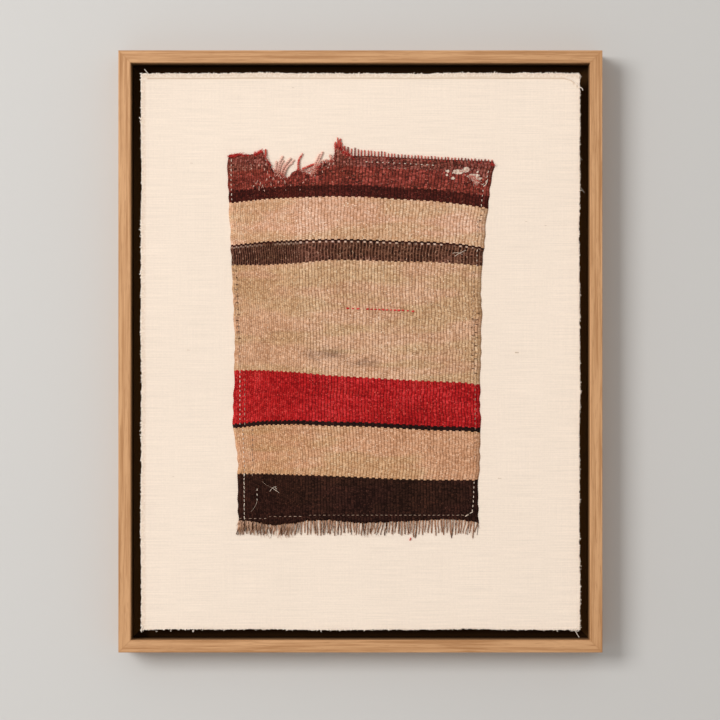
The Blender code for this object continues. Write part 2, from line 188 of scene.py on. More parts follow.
# The kilim's outline, from the top down along its sides and from the left along its rims
LEFT_SIDE = [
    Edge(163.7, -109.8), Edge(154.0, -110.7), Edge(134.0, -109.9), Edge(94.2, -108.0),
    Edge(42.7, -105.8), Edge(9.5, -104.5), Edge(-20.4, -104.9), Edge(-60.2, -106.3),
    Edge(-80.2, -103.3), Edge(-95.1, -101.6), Edge(-112.5, -102.4), Edge(-141.2, -101.4),
]
RIGHT_SIDE = [
    Edge(157.9, 110.5), Edge(154.0, 111.7), Edge(149.0, 110.1), Edge(139.0, 108.4), Edge(111.6, 105.1),
    Edge(76.8, 101.8), Edge(54.3, 100.1), Edge(34.4, 101.0), Edge(-40.3, 99.3), Edge(-55.2, 100.1),
    Edge(-90.1, 99.3), Edge(-120.0, 97.6), Edge(-144.9, 98.5),
]
UPPER_RIM = [
    Rim(-109.8, 163.7), Rim(-92.5, 163.9), Rim(-86.8, 164.9), Rim(-83.5, 167.7), Rim(-81.0, 164.9),
    Rim(-79.6, 160.3), Rim(-75.1, 156.9), Rim(-73.0, 151.4), Rim(-71.0, 149.8), Rim(-68.4, 149.6),
    Rim(-65.1, 148.4), Rim(-62.3, 145.4), Rim(-60.6, 144.4), Rim(-58.6, 145.2), Rim(-55.6, 149.2),
    Rim(-51.4, 152.3), Rim(-47.4, 149.1), Rim(-42.9, 147.4), Rim(-40.9, 147.8), Rim(-35.5, 154.6),
    Rim(-30.5, 157.6), Rim(-23.6, 157.6), Rim(-21.4, 164.8), Rim(-20.6, 172.6), Rim(-17.8, 172.9),
    Rim(-16.1, 170.1), Rim(-12.4, 166.0), Rim(-7.8, 162.8), Rim(8.0, 162.8), Rim(24.6, 161.8),
    Rim(49.5, 160.6), Rim(78.5, 159.4), Rim(105.9, 158.5), Rim(110.5, 157.9),
]
LOWER_RIM = [
    Rim(-101.6, -141.2), Rim(-93.3, -141.2), Rim(-86.7, -142.5), Rim(-78.4, -144.2), Rim(-70.1, -145.4),
    Rim(-65.9, -144.2), Rim(-53.5, -143.3), Rim(-46.0, -141.2), Rim(-25.2, -140.7), Rim(-1.2, -143.1),
    Rim(22.1, -142.3), Rim(42.8, -141.4), Rim(61.9, -140.3), Rim(70.2, -139.8), Rim(86.0, -140.7),
    Rim(97.6, -142.6),
]

# Places across at which each weft band's lower edge is given, and the bands from the top down
STATIONS = [-108, -80, -53, -25, 3, 30, 60, 86, 108]
WEFT_BANDS = [
    Band("maroon", [123.2, 126.3, 127.7, 128.6, 128.2, 126.3, 124.8, 121.8, 118.5]),
    Band("upper beige", [87.2, 90.2, 91.5, 92.3, 92.0, 90.8, 90.1, 88.1, 84.3]),
    Band("brown", [72.3, 72.3, 73.8, 76.6, 76.4, 75.2, 74.9, 73.1, 70.5]),
    Band("wide beige", [-16.0, -16.0, -17.6, -20.5, -22.1, -23.8, -25.2, -26.3, -29.5]),
    Band("red", [-61.1, -58.1, -57.5, -58.8, -59.3, -60.8, -62.5, -63.1, -64.6]),
    Band("black", [-63.9, -60.9, -60.3, -61.6, -62.1, -63.6, -65.3, -65.9, -67.4]),
    Band("lower beige", [-102.8, -102.8, -103.8, -104.7, -106.0, -107.4, -108.1, -108.1, -108.1]),
]


# Reading tables


def read(table, key, value, wanted):
    """Reads a table of straight stretches: the wanted column where the key column has this value."""
    rows = sorted(table, key=lambda row: getattr(row, key))
    return np.interp(value, [getattr(row, key) for row in rows], [getattr(row, wanted) for row in rows])


def rib_share(rib):
    """How far across the kilim a rib position lies, from 0 at the left side to 1 at the right."""
    narrow = np.minimum(rib, NARROW_RIBS) * NARROW_PITCH
    wide = np.maximum(rib - NARROW_RIBS, 0) * WIDE_PITCH
    return (narrow + wide) / (NARROW_RIBS * NARROW_PITCH + WIDE_RIBS * WIDE_PITCH)


def side_wander(up, phase):
    """How far a side wanders out of its table at a height, in millimetres."""
    quick = np.sin(up / 2.3 + phase + 1.5 * np.sin(up / 7.0))
    slow = np.sin(up / 4.9 + phase)
    return SIDE_WANDER * (quick + 0.6 * slow) / 1.6


def side_to_side(rib, up):
    """Distance across of a rib position at a height, with the ribs a little uneven in width."""
    left = read(LEFT_SIDE, "up", up, "across") + side_wander(up, 0.0)
    right = read(RIGHT_SIDE, "up", up, "across") + side_wander(up, 2.0)
    inside = np.minimum(1, np.minimum(rib, RIBS - rib))
    drift = RIB_WANDER * (np.sin(up / 5.1 + 1.9 * rib) + 0.6 * np.sin(up / 2.3 + 3.1 * rib))
    return left + (right - left) * rib_share(rib) + drift * inside


def band_edge(band, rib):
    """Height of a weft band's lower edge at a rib position."""
    edge = [Rim(across, up) for across, up in zip(STATIONS, band.lower_edge)]
    return read(edge, "across", side_to_side(rib, np.mean(band.lower_edge)), "up")


def scallop(rib):
    """How far an end of a rib stands out past the valleys on both sides of it."""
    return SCALLOP * np.abs(np.sin(np.pi * rib))


def upper_rim(rib):
    """Height of the upper rim at a rib position, jagged where the weave is torn."""
    torn = np.clip(np.minimum(rib - FIRST_TORN_RIB, LAST_TORN_RIB - rib) / 2, 0, 1)
    jag = TEAR_JAG * torn * np.sin(7.3 * np.floor(rib * 2)) * np.sin(1.7 * np.floor(rib * 2) + 1)
    return read(UPPER_RIM, "across", side_to_side(rib, UPPER_LEVEL), "up") + scallop(rib) + jag


def lower_rim(rib):
    """Height of the lower rim at a rib position, a little ragged where the weft has slipped."""
    jag = LOWER_JAG * np.sin(5.9 * np.floor(rib * 2)) * np.sin(1.3 * np.floor(rib * 2) + 2)
    return read(LOWER_RIM, "across", side_to_side(rib, LOWER_LEVEL), "up") - scallop(rib) + jag


def placed(across, up, depth):
    """A point in metres from its millimetres about the frame's middle and its depth before the wall."""
    return Vector((across * MM, -depth, CENTRE_HEIGHT + up * MM))


# Node trees


def rgba(colour):
    return (*colour, 1) if isinstance(colour, Colour) else colour


def rgb(colour):
    return tuple(colour) if isinstance(colour, Colour) else colour


class Tree:
    """Places nodes in a tree. What a node is fed is another node's socket, or a plain value."""

    def __init__(self, tree):
        self.tree = tree

    def feed(self, socket, value):
        if isinstance(value, bpy.types.NodeSocket):
            self.tree.links.new(value, socket)
        else:
            socket.default_value = value

    def node(self, kind, feeds=(), **settings):
        node = self.tree.nodes.new(kind)
        for name, value in settings.items():
            setattr(node, name, value)
        for key, value in dict(feeds).items():
            self.feed(node.inputs[key], value)
        return node

    def out(self, kind, feeds=(), **settings):
        """A node's first output."""
        return self.node(kind, feeds, **settings).outputs[0]

    def math(self, operation, *values):
        return self.out("ShaderNodeMath", enumerate(values), operation=operation)

    def plus(self, first, second):
        return self.math("ADD", first, second)

    def minus(self, first, second):
        return self.math("SUBTRACT", first, second)

    def times(self, first, second):
        return self.math("MULTIPLY", first, second)

    def scaled(self, value, factor, added):
        return self.math("MULTIPLY_ADD", value, factor, added)

    def from_ends(self, share):
        """How far a share lies from the nearer of 0 and 1."""
        return self.minus(0.5, self.math("ABSOLUTE", self.minus(share, 0.5)))

    def vector(self, operation, *values):
        return self.out("ShaderNodeVectorMath", enumerate(values), operation=operation)

    def combine(self, x, y, z=0.0):
        return self.out("ShaderNodeCombineXYZ", {0: x, 1: y, 2: z})

    def split(self, vector):
        return self.node("ShaderNodeSeparateXYZ", {0: vector}).outputs

    def rise(self, value, low, high):
        """From 0 where the value is at low to 1 where it is at high, smoothly and no further."""
        return self.out("ShaderNodeMapRange", {0: value, 1: low, 2: high}, interpolation_type="SMOOTHSTEP")

    def noise(self, vector, scale, detail=2.0, roughness=0.5):
        feeds = {"Vector": vector, "Scale": scale, "Detail": detail, "Roughness": roughness}
        return self.out("ShaderNodeTexNoise", feeds)

    def streaks(self, vector, scales, detail=2.0, roughness=0.5):
        """A noise with its own scale each way."""
        return self.noise(self.vector("MULTIPLY", vector, scales), 1.0, detail, roughness)

    def chance(self, vector):
        """A value from 0 to 1 that is the same all over each whole-numbered cell."""
        return self.out("ShaderNodeTexWhiteNoise", {"Vector": vector})

    def mix(self, share, first, second, blend="MIX"):
        feeds = {0: share, 6: rgba(first), 7: rgba(second)}
        return self.node("ShaderNodeMix", feeds, data_type="RGBA", blend_type=blend).outputs[2]

    def tinted(self, colour, tint):
        return self.mix(1.0, colour, tint, "MULTIPLY")

    def tone(self, colour, brightness):
        """A colour made lighter or darker by a factor."""
        return self.vector("MULTIPLY", rgb(colour), self.combine(brightness, brightness, brightness))

    def attribute(self, name):
        return self.node("ShaderNodeAttribute", attribute_name=name).outputs["Fac"]

    def field(self, name):
        """A named number of a Geometry Nodes tree's points."""
        return self.out("GeometryNodeInputNamedAttribute", {0: name}, data_type="FLOAT")


SOCKET_KINDS = {float: "Float", int: "Int", Colour: "Color"}


def new_group(name, kind, inputs, outputs):
    """A node group: its tree, inputs and output node. An input is given by its kind or its first value."""
    group = bpy.data.node_groups.new(name, kind)
    for socket, value in inputs.items():
        is_kind = isinstance(value, str)
        socket_type = "NodeSocket" + (value if is_kind else SOCKET_KINDS[type(value)])
        item = group.interface.new_socket(socket, in_out="INPUT", socket_type=socket_type)
        if not is_kind:
            item.default_value = rgba(value)
    for socket, value in outputs.items():
        group.interface.new_socket(socket, in_out="OUTPUT", socket_type="NodeSocket" + value)
    return Tree(group), group.nodes.new("NodeGroupInput").outputs, group.nodes.new("NodeGroupOutput")


def place_group(tree, group, **feeds):
    """Places a group in a material, its feeds named as its sockets are, and returns its outputs."""
    node = tree.node("ShaderNodeGroup", node_tree=group)
    for name, value in feeds.items():
        tree.feed(node.inputs[name.replace("_", " ").capitalize()], value)
    return node.outputs


def new_material(name, roughness=0.95, specular=0.5):
    """A plain material with these values on its shader: its tree, its shader and its Object coordinates."""
    material = bpy.data.materials.new(name)
    material.use_nodes = True
    tree = Tree(material.node_tree)
    shader = material.node_tree.nodes["Principled BSDF"]
    shader.inputs["Roughness"].default_value = roughness
    shader.inputs["Specular IOR Level"].default_value = specular
    return material, tree, shader, tree.node("ShaderNodeTexCoord").outputs["Object"]


def colour_and_relief(tree, shader, colour, height, distance):
    """Gives a shader its colour, and a relief that is the given distance high."""
    tree.feed(shader.inputs["Base Color"], colour)
    tree.feed(shader.inputs["Normal"], tree.out("ShaderNodeBump", {"Height": height, "Distance": distance}))


# Shared effects


def oak_grain_group():
    """Straight oak grain that runs along its vector's X: the colour and the relief of its pores."""
    inputs = {"Vector": "Vector", "Light wood": Colour(0.5, 0.3, 0.1), "Dark wood": Colour(0.3, 0.2, 0.1)}
    outputs = {"Color": "Color", "Height": "Float"}
    tree, given, out = new_group("oak grain", "ShaderNodeTree", inputs, outputs)
    vector = given["Vector"]
    drift = tree.streaks(vector, (4, 30, 30))
    bent = tree.vector("ADD", vector, tree.combine(0.0, tree.times(drift, 0.006)))
    growth = tree.streaks(bent, (9, 820, 430), 3.0, 0.6)
    fibre = tree.streaks(bent, (34, 2100, 2100), 3.0, 0.6)
    pores = tree.streaks(bent, (85, 2100, 2100), 1.0)
    broad = tree.streaks(vector, (6, 60, 60))
    share = tree.plus(tree.rise(growth, 0.38, 0.66), tree.times(broad, 0.55))
    share = tree.scaled(tree.scaled(fibre, 1.1, share), 0.54, -0.10)
    pore = tree.rise(pores, 0.60, 0.70)
    colour = tree.mix(share, given["Light wood"], given["Dark wood"])
    tree.feed(out.inputs["Color"], tree.mix(tree.times(pore, 0.55), colour, given["Dark wood"]))
    tree.feed(out.inputs["Height"], tree.minus(tree.times(fibre, 0.5), pore))
    return tree.tree


def spun_fibre_group():
    """The loose fibres of a spun yarn or cloth: a brightness about 1 and a fine relief."""
    inputs = {"Vector": "Vector", "Contrast": 0.2, "Scale": 1500.0}
    outputs = {"Brightness": "Float", "Height": "Float"}
    tree, given, out = new_group("spun fibre", "ShaderNodeTree", inputs, outputs)
    fine = tree.noise(given["Vector"], given["Scale"], 3.0, 0.65)
    clump = tree.noise(given["Vector"], tree.times(given["Scale"], 0.23))
    both = tree.minus(tree.plus(fine, clump), 1.0)
    tree.feed(out.inputs["Brightness"], tree.scaled(both, tree.times(given["Contrast"], 2.0), 1.0))
    tree.feed(out.inputs["Height"], tree.plus(fine, tree.times(clump, 0.6)))
    return tree.tree


def plain_weave_group():
    """The relief of one thread over and one under, across X and Y."""
    inputs = {"Vector": "Vector", "Threads": 1600.0}
    tree, given, out = new_group("plain weave", "ShaderNodeTree", inputs, {"Height": "Float"})
    domes = []
    cells = []
    for axis in (0, 1):
        run = tree.times(tree.split(given["Vector"])[axis], given["Threads"])
        cells.append(tree.math("FLOOR", run))
        domes.append(tree.math("SINE", tree.times(tree.math("FRACT", run), math.pi)))
    upright = tree.math("PINGPONG", tree.plus(cells[0], cells[1]), 1.0)
    heights = []
    for first, second in (domes, reversed(domes)):
        heights.append(tree.times(tree.math("POWER", first, 0.6), tree.scaled(second, 0.5, 0.5)))
    across = tree.times(heights[1], tree.minus(1.0, upright))
    tree.feed(out.inputs["Height"], tree.scaled(heights[0], upright, across))
    return tree.tree


OAK_GRAIN = oak_grain_group()
SPUN_FIBRE = spun_fibre_group()
PLAIN_WEAVE = plain_weave_group()

# Finishes

OAK_LIGHT = Colour(0.670, 0.380, 0.188)
OAK_DARK = Colour(0.355, 0.164, 0.060)
# The rebate's black, stained and darkened by painted shade: one colour for the uprights, the top rail and
# the bottom rail, each set for how the light falls on that side
UPRIGHT_STAIN_AND_SHADE = Colour(0.110, 0.048, 0.013)
CROSSWISE_STAIN_AND_SHADE = Colour(0.042, 0.017, 0.004)
LOWER_STAIN_AND_SHADE = Colour(0.034, 0.0132, 0.0030)
CANVAS_CREAM = Colour(0.86, 0.728, 0.607)
CANVAS_EDGE = Colour(0.72, 0.557, 0.42)
CANVAS_CREASE_SHADE = Colour(0.58, 0.41, 0.28)
CANVAS_THREAD = Colour(0.90, 0.80, 0.70)
BOARD_BLACK = Colour(0.012, 0.008, 0.006)
BOARD_BROWN = Colour(0.30, 0.19, 0.11)
STITCH_PALE = Colour(0.80, 0.64, 0.51)
NARROW_TINT = Colour(0.98, 0.945, 0.91)
WARP_PALE = Colour(0.78, 0.62, 0.50)
ROOM_GREY = Colour(0.555, 0.543, 0.525)
DOT_MAIN = Colour(0.60, 0.40, 0.32)
DOT_LIGHT = Colour(0.80, 0.62, 0.53)
SOILED = Colour(0.56, 0.545, 0.56)
WARM_TINT = Colour(0.96, 0.99, 0.93)
PINK_TINT = Colour(1.04, 1.01, 1.04)

# Each weft yarn's colour, its lighter and darker beads, its colour between the ribs (painted shade, and on
# the brown the paler warp that shows there), and its flecks
YARNS = {
    "maroon": Yarn(
        Colour(0.214, 0.0345, 0.0225), Colour(0.45, 0.092, 0.068), Colour(0.066, 0.014, 0.010),
        Colour(0.04, 0.012, 0.009), Colour(0.46, 0.2, 0.15),
    ),
    "worn maroon": Yarn(
        Colour(0.198, 0.0455, 0.0315), Colour(0.40, 0.140, 0.108), Colour(0.050, 0.014, 0.010),
        Colour(0.036, 0.011, 0.008), Colour(0.46, 0.25, 0.19),
    ),
    "dark maroon": Yarn(
        Colour(0.064, 0.011, 0.0078), Colour(0.125, 0.023, 0.016), Colour(0.03, 0.007, 0.0055),
        Colour(0.019, 0.006, 0.0045), Colour(0.2, 0.065, 0.045),
    ),
    "upper beige": Yarn(
        Colour(0.688, 0.407, 0.260), Colour(0.81, 0.55, 0.39), Colour(0.53, 0.280, 0.156),
        Colour(0.31, 0.145, 0.072), Colour(0.90, 0.72, 0.55),
    ),
    "thin line": Yarn(
        Colour(0.03, 0.0075, 0.0055), Colour(0.06, 0.011, 0.008), Colour(0.016, 0.005, 0.004),
        Colour(0.016, 0.005, 0.004), Colour(0.12, 0.022, 0.016),
    ),
    "brown": Yarn(
        Colour(0.064, 0.0215, 0.0122), Colour(0.215, 0.094, 0.060), Colour(0.017, 0.0062, 0.0042),
        Colour(0.230, 0.098, 0.062), Colour(0.48, 0.29, 0.20),
    ),
    "wide beige": Yarn(
        Colour(0.640, 0.387, 0.233), Colour(0.76, 0.505, 0.335), Colour(0.47, 0.255, 0.138),
        Colour(0.265, 0.13, 0.064), Colour(0.84, 0.64, 0.47),
    ),
    "red": Yarn(
        Colour(0.452, 0.0145, 0.0150), Colour(0.64, 0.042, 0.041), Colour(0.27, 0.006, 0.007),
        Colour(0.105, 0.004, 0.005), Colour(0.72, 0.11, 0.09),
    ),
    "black": Yarn(
        Colour(0.024, 0.0080, 0.0072), Colour(0.026, 0.013, 0.01), Colour(0.008, 0.0045, 0.0035),
        Colour(0.01, 0.005, 0.004), Colour(0.14, 0.024, 0.019),
    ),
    "lower beige": Yarn(
        Colour(0.628, 0.349, 0.197), Colour(0.745, 0.475, 0.300), Colour(0.475, 0.235, 0.118),
        Colour(0.27, 0.122, 0.056), Colour(0.84, 0.61, 0.43),
    ),
    "dark brown": Yarn(
        Colour(0.034, 0.0128, 0.0086), Colour(0.064, 0.022, 0.0138), Colour(0.014, 0.0052, 0.0036),
        Colour(0.01, 0.0036, 0.0027), Colour(0.088, 0.035, 0.023),
    ),
}

# Loose yarns: the colour at the root, at the tip and of some other strands, and the fibres' contrast
THREADS = {
    "pale thread": Thread(STITCH_PALE, Colour(0.74, 0.61, 0.50), Colour(0.52, 0.38, 0.29)),
    "faint thread": Thread(Colour(0.34, 0.22, 0.155), Colour(0.44, 0.30, 0.22), Colour(0.16, 0.09, 0.06)),
    "red wool": Thread(Colour(0.50, 0.030, 0.024), Colour(0.66, 0.065, 0.055), Colour(0.36, 0.022, 0.020)),
    "stained warp": Thread(
        Colour(0.40, 0.060, 0.042), Colour(0.66, 0.150, 0.108), Colour(0.27, 0.042, 0.030),
    ),
    "torn warp": Thread(Colour(0.60, 0.28, 0.21), Colour(0.82, 0.53, 0.43), Colour(0.56, 0.085, 0.062)),
    # The warp ends' other colour, near black, is partly painted shade for the ends that lie under others
    "warp end": Thread(
        Colour(0.50, 0.255, 0.145), Colour(0.29, 0.124, 0.062), Colour(0.060, 0.021, 0.0095),
    ),
    "matted warp": Thread(Colour(0.70, 0.44, 0.30), Colour(0.47, 0.26, 0.155), Colour(0.055, 0.019, 0.009)),
    "canvas thread": Thread(CANVAS_THREAD, CANVAS_THREAD, CANVAS_CREAM, 0.08),
    "dark thread": Thread(
        Colour(0.10, 0.045, 0.020), Colour(0.13, 0.062, 0.030), Colour(0.05, 0.020, 0.010),
    ),
    "slub": Thread(Colour(0.66, 0.52, 0.40), Colour(0.70, 0.56, 0.44), Colour(0.60, 0.47, 0.36), 0.1),
}


def oak(name, runs_up, stain_and_shade):
    """Oiled oak with its grain along the rail, and the rebate's inside stained black towards the back and
    darkened further there by painted shade.
    """
    material, tree, shader, place = new_material(name)
    centred = tree.out("ShaderNodeMapping", {0: place, 1: (0, 0, -CENTRE_HEIGHT)}, vector_type="POINT")
    turn = (0, math.pi / 2 if runs_up else 0, 0)
    along = tree.out("ShaderNodeMapping", {0: centred, 2: turn}, vector_type="POINT")
    grain = place_group(tree, OAK_GRAIN, vector=along, light_wood=rgba(OAK_LIGHT), dark_wood=rgba(OAK_DARK))
    x, y, z = tree.split(centred)
    inwards = []
    for value, half in ((x, FRAME_WIDTH / 2), (z, FRAME_HEIGHT / 2)):
        inwards.append(tree.minus(half, tree.math("ABSOLUTE", value)))
    reach = tree.math("MINIMUM", *inwards)
    mitre = tree.math("ABSOLUTE", tree.minus(*inwards))
    near_mitre = tree.times(tree.rise(mitre, 1.6 * MM, 0.0), 0.35)
    colour = tree.mix(near_mitre, grain["Color"], OAK_DARK)
    if runs_up:
        # Painted shade: the rebate is darker near the top.
        stain_and_shade = tree.tone(stain_and_shade, tree.scaled(tree.rise(z, 0.08, 0.235), -0.45, 1.0))
        # Painted light: the right rail is toned slightly paler than the left one, evening out the key
        # light's fall-off across the frame
        colour = tree.tone(colour, tree.scaled(x, 0.02, 1.03))
    depth = tree.times(y, -1.0)
    inside = tree.math("GREATER_THAN", reach, FACE_WIDTH - 0.25 * MM)
    # The black deepens with depth: partly the rebate's own black finish, partly painted shade down in the
    # channel
    stained = tree.out("ShaderNodeMapRange", {0: depth, 1: 29 * MM, 2: 12 * MM})
    painted = tree.times(inside, tree.math("POWER", stained, 0.8))
    painted = tree.times(painted, tree.math("GREATER_THAN", depth, 0.5 * MM))
    tree.feed(shader.inputs["Roughness"], tree.scaled(painted, 0.35, 0.55))
    tree.feed(shader.inputs["Specular IOR Level"], tree.scaled(painted, -0.22, 0.3))
    colour_and_relief(tree, shader, tree.mix(painted, colour, stain_and_shade), grain["Height"], 0.05 * MM)
    return material


def fibreboard():
    """Fibreboard: stained black on the front and edges, bare and speckled on the back."""
    material, tree, shader, place = new_material("board", 0.85)
    long = tree.vector("MULTIPLY", place, (1, 1, 0.35))
    fibre = place_group(tree, SPUN_FIBRE, vector=long, contrast=0.5, scale=900.0)
    bare = tree.math("GREATER_THAN", tree.split(place)[1], -6.6 * MM)
    colour = tree.tone(tree.mix(bare, BOARD_BLACK, BOARD_BROWN), fibre["Brightness"])
    colour_and_relief(tree, shader, colour, fibre["Height"], 0.08 * MM)
    return material


def canvas():
    """Raw cotton canvas: a fine plain weave, uneven along both ways and yellower where it hangs over, with
    painted shade in the dips of its weave and painted light towards its right side.
    """
    material, tree, shader, place = new_material("canvas", specular=0.2)
    flat = tree.out("ShaderNodeMapping", {0: place, 2: (math.pi / 2, 0, 0)})
    sway = tree.streaks(flat, (40, 40, 40))
    bent = tree.vector("ADD", flat, tree.combine(tree.times(sway, 0.0012), 0.0))
    weave = place_group(tree, PLAIN_WEAVE, vector=bent, threads=1550.0)
    fibre = place_group(tree, SPUN_FIBRE, vector=place, contrast=0.05, scale=2200.0)
    lying = tree.streaks(place, (26, 1, 1500), 3.0)
    standing = tree.streaks(place, (1500, 1, 20))
    patchy = tree.noise(place, 9.0, 3.0)
    # Painted shade: the dips between the weave's threads are a little darker
    light = tree.scaled(weave["Height"], 0.09, 0.945)
    for streak, amount in ((lying, 0.27), (standing, 0.09), (patchy, 0.06)):
        light = tree.times(light, tree.scaled(streak, amount, 1 - amount / 2))
    light = tree.times(light, fibre["Brightness"])
    # Painted light: the canvas is a little paler towards its right side, evening out the key light's
    # fall-off
    light = tree.times(light, tree.scaled(tree.split(place)[0], 0.17, 1.0))
    over = tree.times(tree.attribute("overhang"), tree.rise(tree.noise(place, 700.0, 3.0), 0.30, 0.62))
    colour = tree.mix(over, CANVAS_CREAM, CANVAS_EDGE)
    # Painted shade along the pressed crease
    colour = tree.mix(tree.attribute("crease"), colour, CANVAS_CREASE_SHADE)
    fray = tree.times(tree.attribute("fray"), tree.rise(lying, 0.4, 0.6))
    colour = tree.mix(fray, colour, CANVAS_THREAD)
    relief = tree.scaled(lying, 0.7, tree.plus(weave["Height"], fibre["Height"]))
    colour_and_relief(tree, shader, tree.tone(colour, light), relief, 0.10 * MM)
    return material


def yarn_ramp(tree, level, band_starts, rows, field):
    """One field of the yarns' colours, in even stretches from the lowest weft row to the highest."""
    ramp = tree.node("ShaderNodeValToRGB", {0: level})
    elements = ramp.color_ramp.elements
    ramp.color_ramp.interpolation = "CONSTANT"
    for index, (start, yarn) in enumerate(band_starts):
        stop = elements[0] if index == 0 else elements.new(start / rows)
        stop.position = start / rows
        stop.color = rgba(getattr(YARNS[yarn], field))
    elements.remove(elements[len(elements) - 1])
    return ramp.outputs[0]


def dotted_line(tree, place, beads, dotted_row, lean):
    """The dotted line's share and colour: bright on every second wide rib, dim on all the narrow ones."""
    bright = tree.times(tree.minus(1.0, beads.odd), beads.wide)
    shown = tree.math("MAXIMUM", bright, tree.scaled(beads.wide, -0.4, 0.4))
    shown = tree.times(shown, tree.rise(tree.noise(place, 60.0), 0.34, 0.50))
    shown = tree.times(shown, tree.rise(beads.from_valley, 0.06, 0.24))
    share = tree.times(tree.math("COMPARE", beads.row, dotted_row, 0.75), shown)
    return share, tree.mix(tree.rise(lean, 1.80, 2.10), DOT_MAIN, DOT_LIGHT)


def valley_and_pit(tree, place, beads, rib, pit_chance):
    """How much of the shadow between the ribs, and of that between two beads, shows at a place."""
    uneven_valley = tree.scaled(tree.noise(place, 560.0), 2.1, -0.2)
    uneven_valley = tree.times(uneven_valley, tree.scaled(beads.wide, 0.25, 0.75))
    from_side = tree.math("MINIMUM", rib, tree.minus(float(RIBS), rib))
    uneven_valley = tree.times(uneven_valley, tree.rise(from_side, 0.1, 0.7))
    in_valley = tree.times(tree.rise(beads.from_valley, 0.27, 0.02), uneven_valley)
    in_pit = tree.times(tree.rise(beads.from_gap, 0.26, 0.0), tree.rise(pit_chance, 0.50, 0.95))
    return tree.math("MINIMUM", in_valley, 1.0), in_pit, from_side


def wool(band_starts, rows, dotted_row):
    """The kilim's weft-faced weave. Each bead of weft has one colour, chosen by the row it lies in."""
    material, tree, shader, place = new_material("kilim wool", specular=0.06)
    rib = tree.attribute("rib")
    row = tree.attribute("row")
    rib_number = tree.math("FLOOR", rib)
    odd = tree.math("PINGPONG", rib_number, 1.0)
    passes = tree.times(tree.plus(row, odd), 0.5)
    bead_number = tree.math("FLOOR", passes)
    bead_row = tree.minus(tree.scaled(bead_number, 2.0, 1.0), odd)
    beads = Beads(
        bead_row,
        odd,
        tree.rise(rib, NARROW_RIBS - 4, NARROW_RIBS + 4),
        tree.from_ends(tree.math("FRACT", rib)),
        tree.from_ends(tree.math("FRACT", passes)),
    )
    level = tree.math("DIVIDE", tree.plus(bead_row, 0.5), rows)
    shades = [yarn_ramp(tree, level, band_starts, rows, field) for field in Yarn._fields]
    main, light, dark, gap_and_shade, fleck = shades

    tone_chance, pit_chance = [
        tree.chance(tree.combine(rib_number, bead_number, draw)) for draw in (3.0, 29.0)
    ]
    weft_place = tree.combine(tree.times(rib, 0.16), tree.times(bead_row, 0.6))
    warp_place = tree.combine(tree.times(rib_number, 1.31), tree.times(row, 0.03))
    lean = tree.times(tone_chance, 0.42)
    for streak, amount in (
        (tree.noise(weft_place, 1.0, 3.0), 0.7),
        (tree.noise(warp_place, 1.0), 0.6),
        (tree.noise(place, 26.0, 4.0, 0.6), 0.8),
        (tree.streaks(place, (620, 620, 1350)), 1.1),
    ):
        lean = tree.scaled(streak, amount, lean)
    colour = tree.mix(tree.rise(lean, 1.82, 2.20), main, light)
    colour = tree.mix(tree.rise(lean, 1.80, 1.48), colour, dark)
    # The brown band is darker where the ribs are narrow
    brown_row = next(start for start, yarn in band_starts if yarn == "brown")
    in_brown = tree.math("COMPARE", bead_row, (brown_row + dotted_row) / 2, (dotted_row - brown_row) / 2)
    dimmed = tree.times(in_brown, tree.scaled(beads.wide, -0.6, 0.6))
    colour = tree.mix(dimmed, colour, YARNS["brown"].dark)
    share, dot = dotted_line(tree, place, beads, dotted_row, lean)
    colour = tree.mix(share, colour, dot)

    in_valley, in_pit, from_side = valley_and_pit(tree, place, beads, rib, pit_chance)
    # Painted shade: the pits between beads and the valleys between ribs take the darker colours
    colour = tree.mix(in_pit, colour, tree.vector("MINIMUM", gap_and_shade, dark))
    colour = tree.mix(in_valley, colour, gap_and_shade)
    # Painted shade on the outermost ribs, which slope towards the light at the sheet's edges
    colour = tree.mix(tree.times(tree.rise(from_side, 1.1, 0.0), 0.3), colour, gap_and_shade)
    specks = tree.rise(tree.streaks(place, (1150, 1150, 560)), 0.64, 0.69)
    colour = tree.mix(tree.times(specks, tree.rise(beads.from_valley, 0.34, 0.12)), colour, fleck)
    colour = tree.mix(beads.wide, tree.tinted(colour, NARROW_TINT), colour)

    blush = tree.rise(tree.streaks(place, (16, 16, 70)), 0.40, 0.60)
    colour = tree.tinted(colour, tree.mix(blush, WARM_TINT, PINK_TINT))
    smear = tree.rise(tree.streaks(place, (110, 110, 420), 3.0), 0.24, 0.68)
    colour = tree.mix(tree.times(tree.attribute("soil"), smear), colour, tree.tinted(colour, SOILED))
    worn = tree.scaled(tree.noise(place, 620.0, 3.0), 1.5, tree.attribute("bare"))
    # The bared warps are darker towards the valleys and paler mid-rib: a painted shade of their roundness
    warp = tree.tone(WARP_PALE, tree.scaled(beads.from_valley, 0.8, 0.62))
    colour = tree.mix(tree.rise(worn, 1.18, 1.30), colour, warp)

    fibre = place_group(tree, SPUN_FIBRE, vector=place, contrast=0.36, scale=1500.0)
    dome = tree.times(tree.math("POWER", beads.from_valley, 0.5), tree.math("POWER", beads.from_gap, 0.4))
    ply = tree.scaled(rib, 3.0, tree.times(row, 4.5))
    twist = tree.noise(tree.combine(ply, tree.times(rib, 1.5)), 1.0)
    relief = tree.scaled(twist, 0.3, tree.scaled(fibre["Height"], 0.25, dome))
    colour_and_relief(tree, shader, tree.tone(colour, fibre["Brightness"]), relief, 0.5 * MM)
    return material


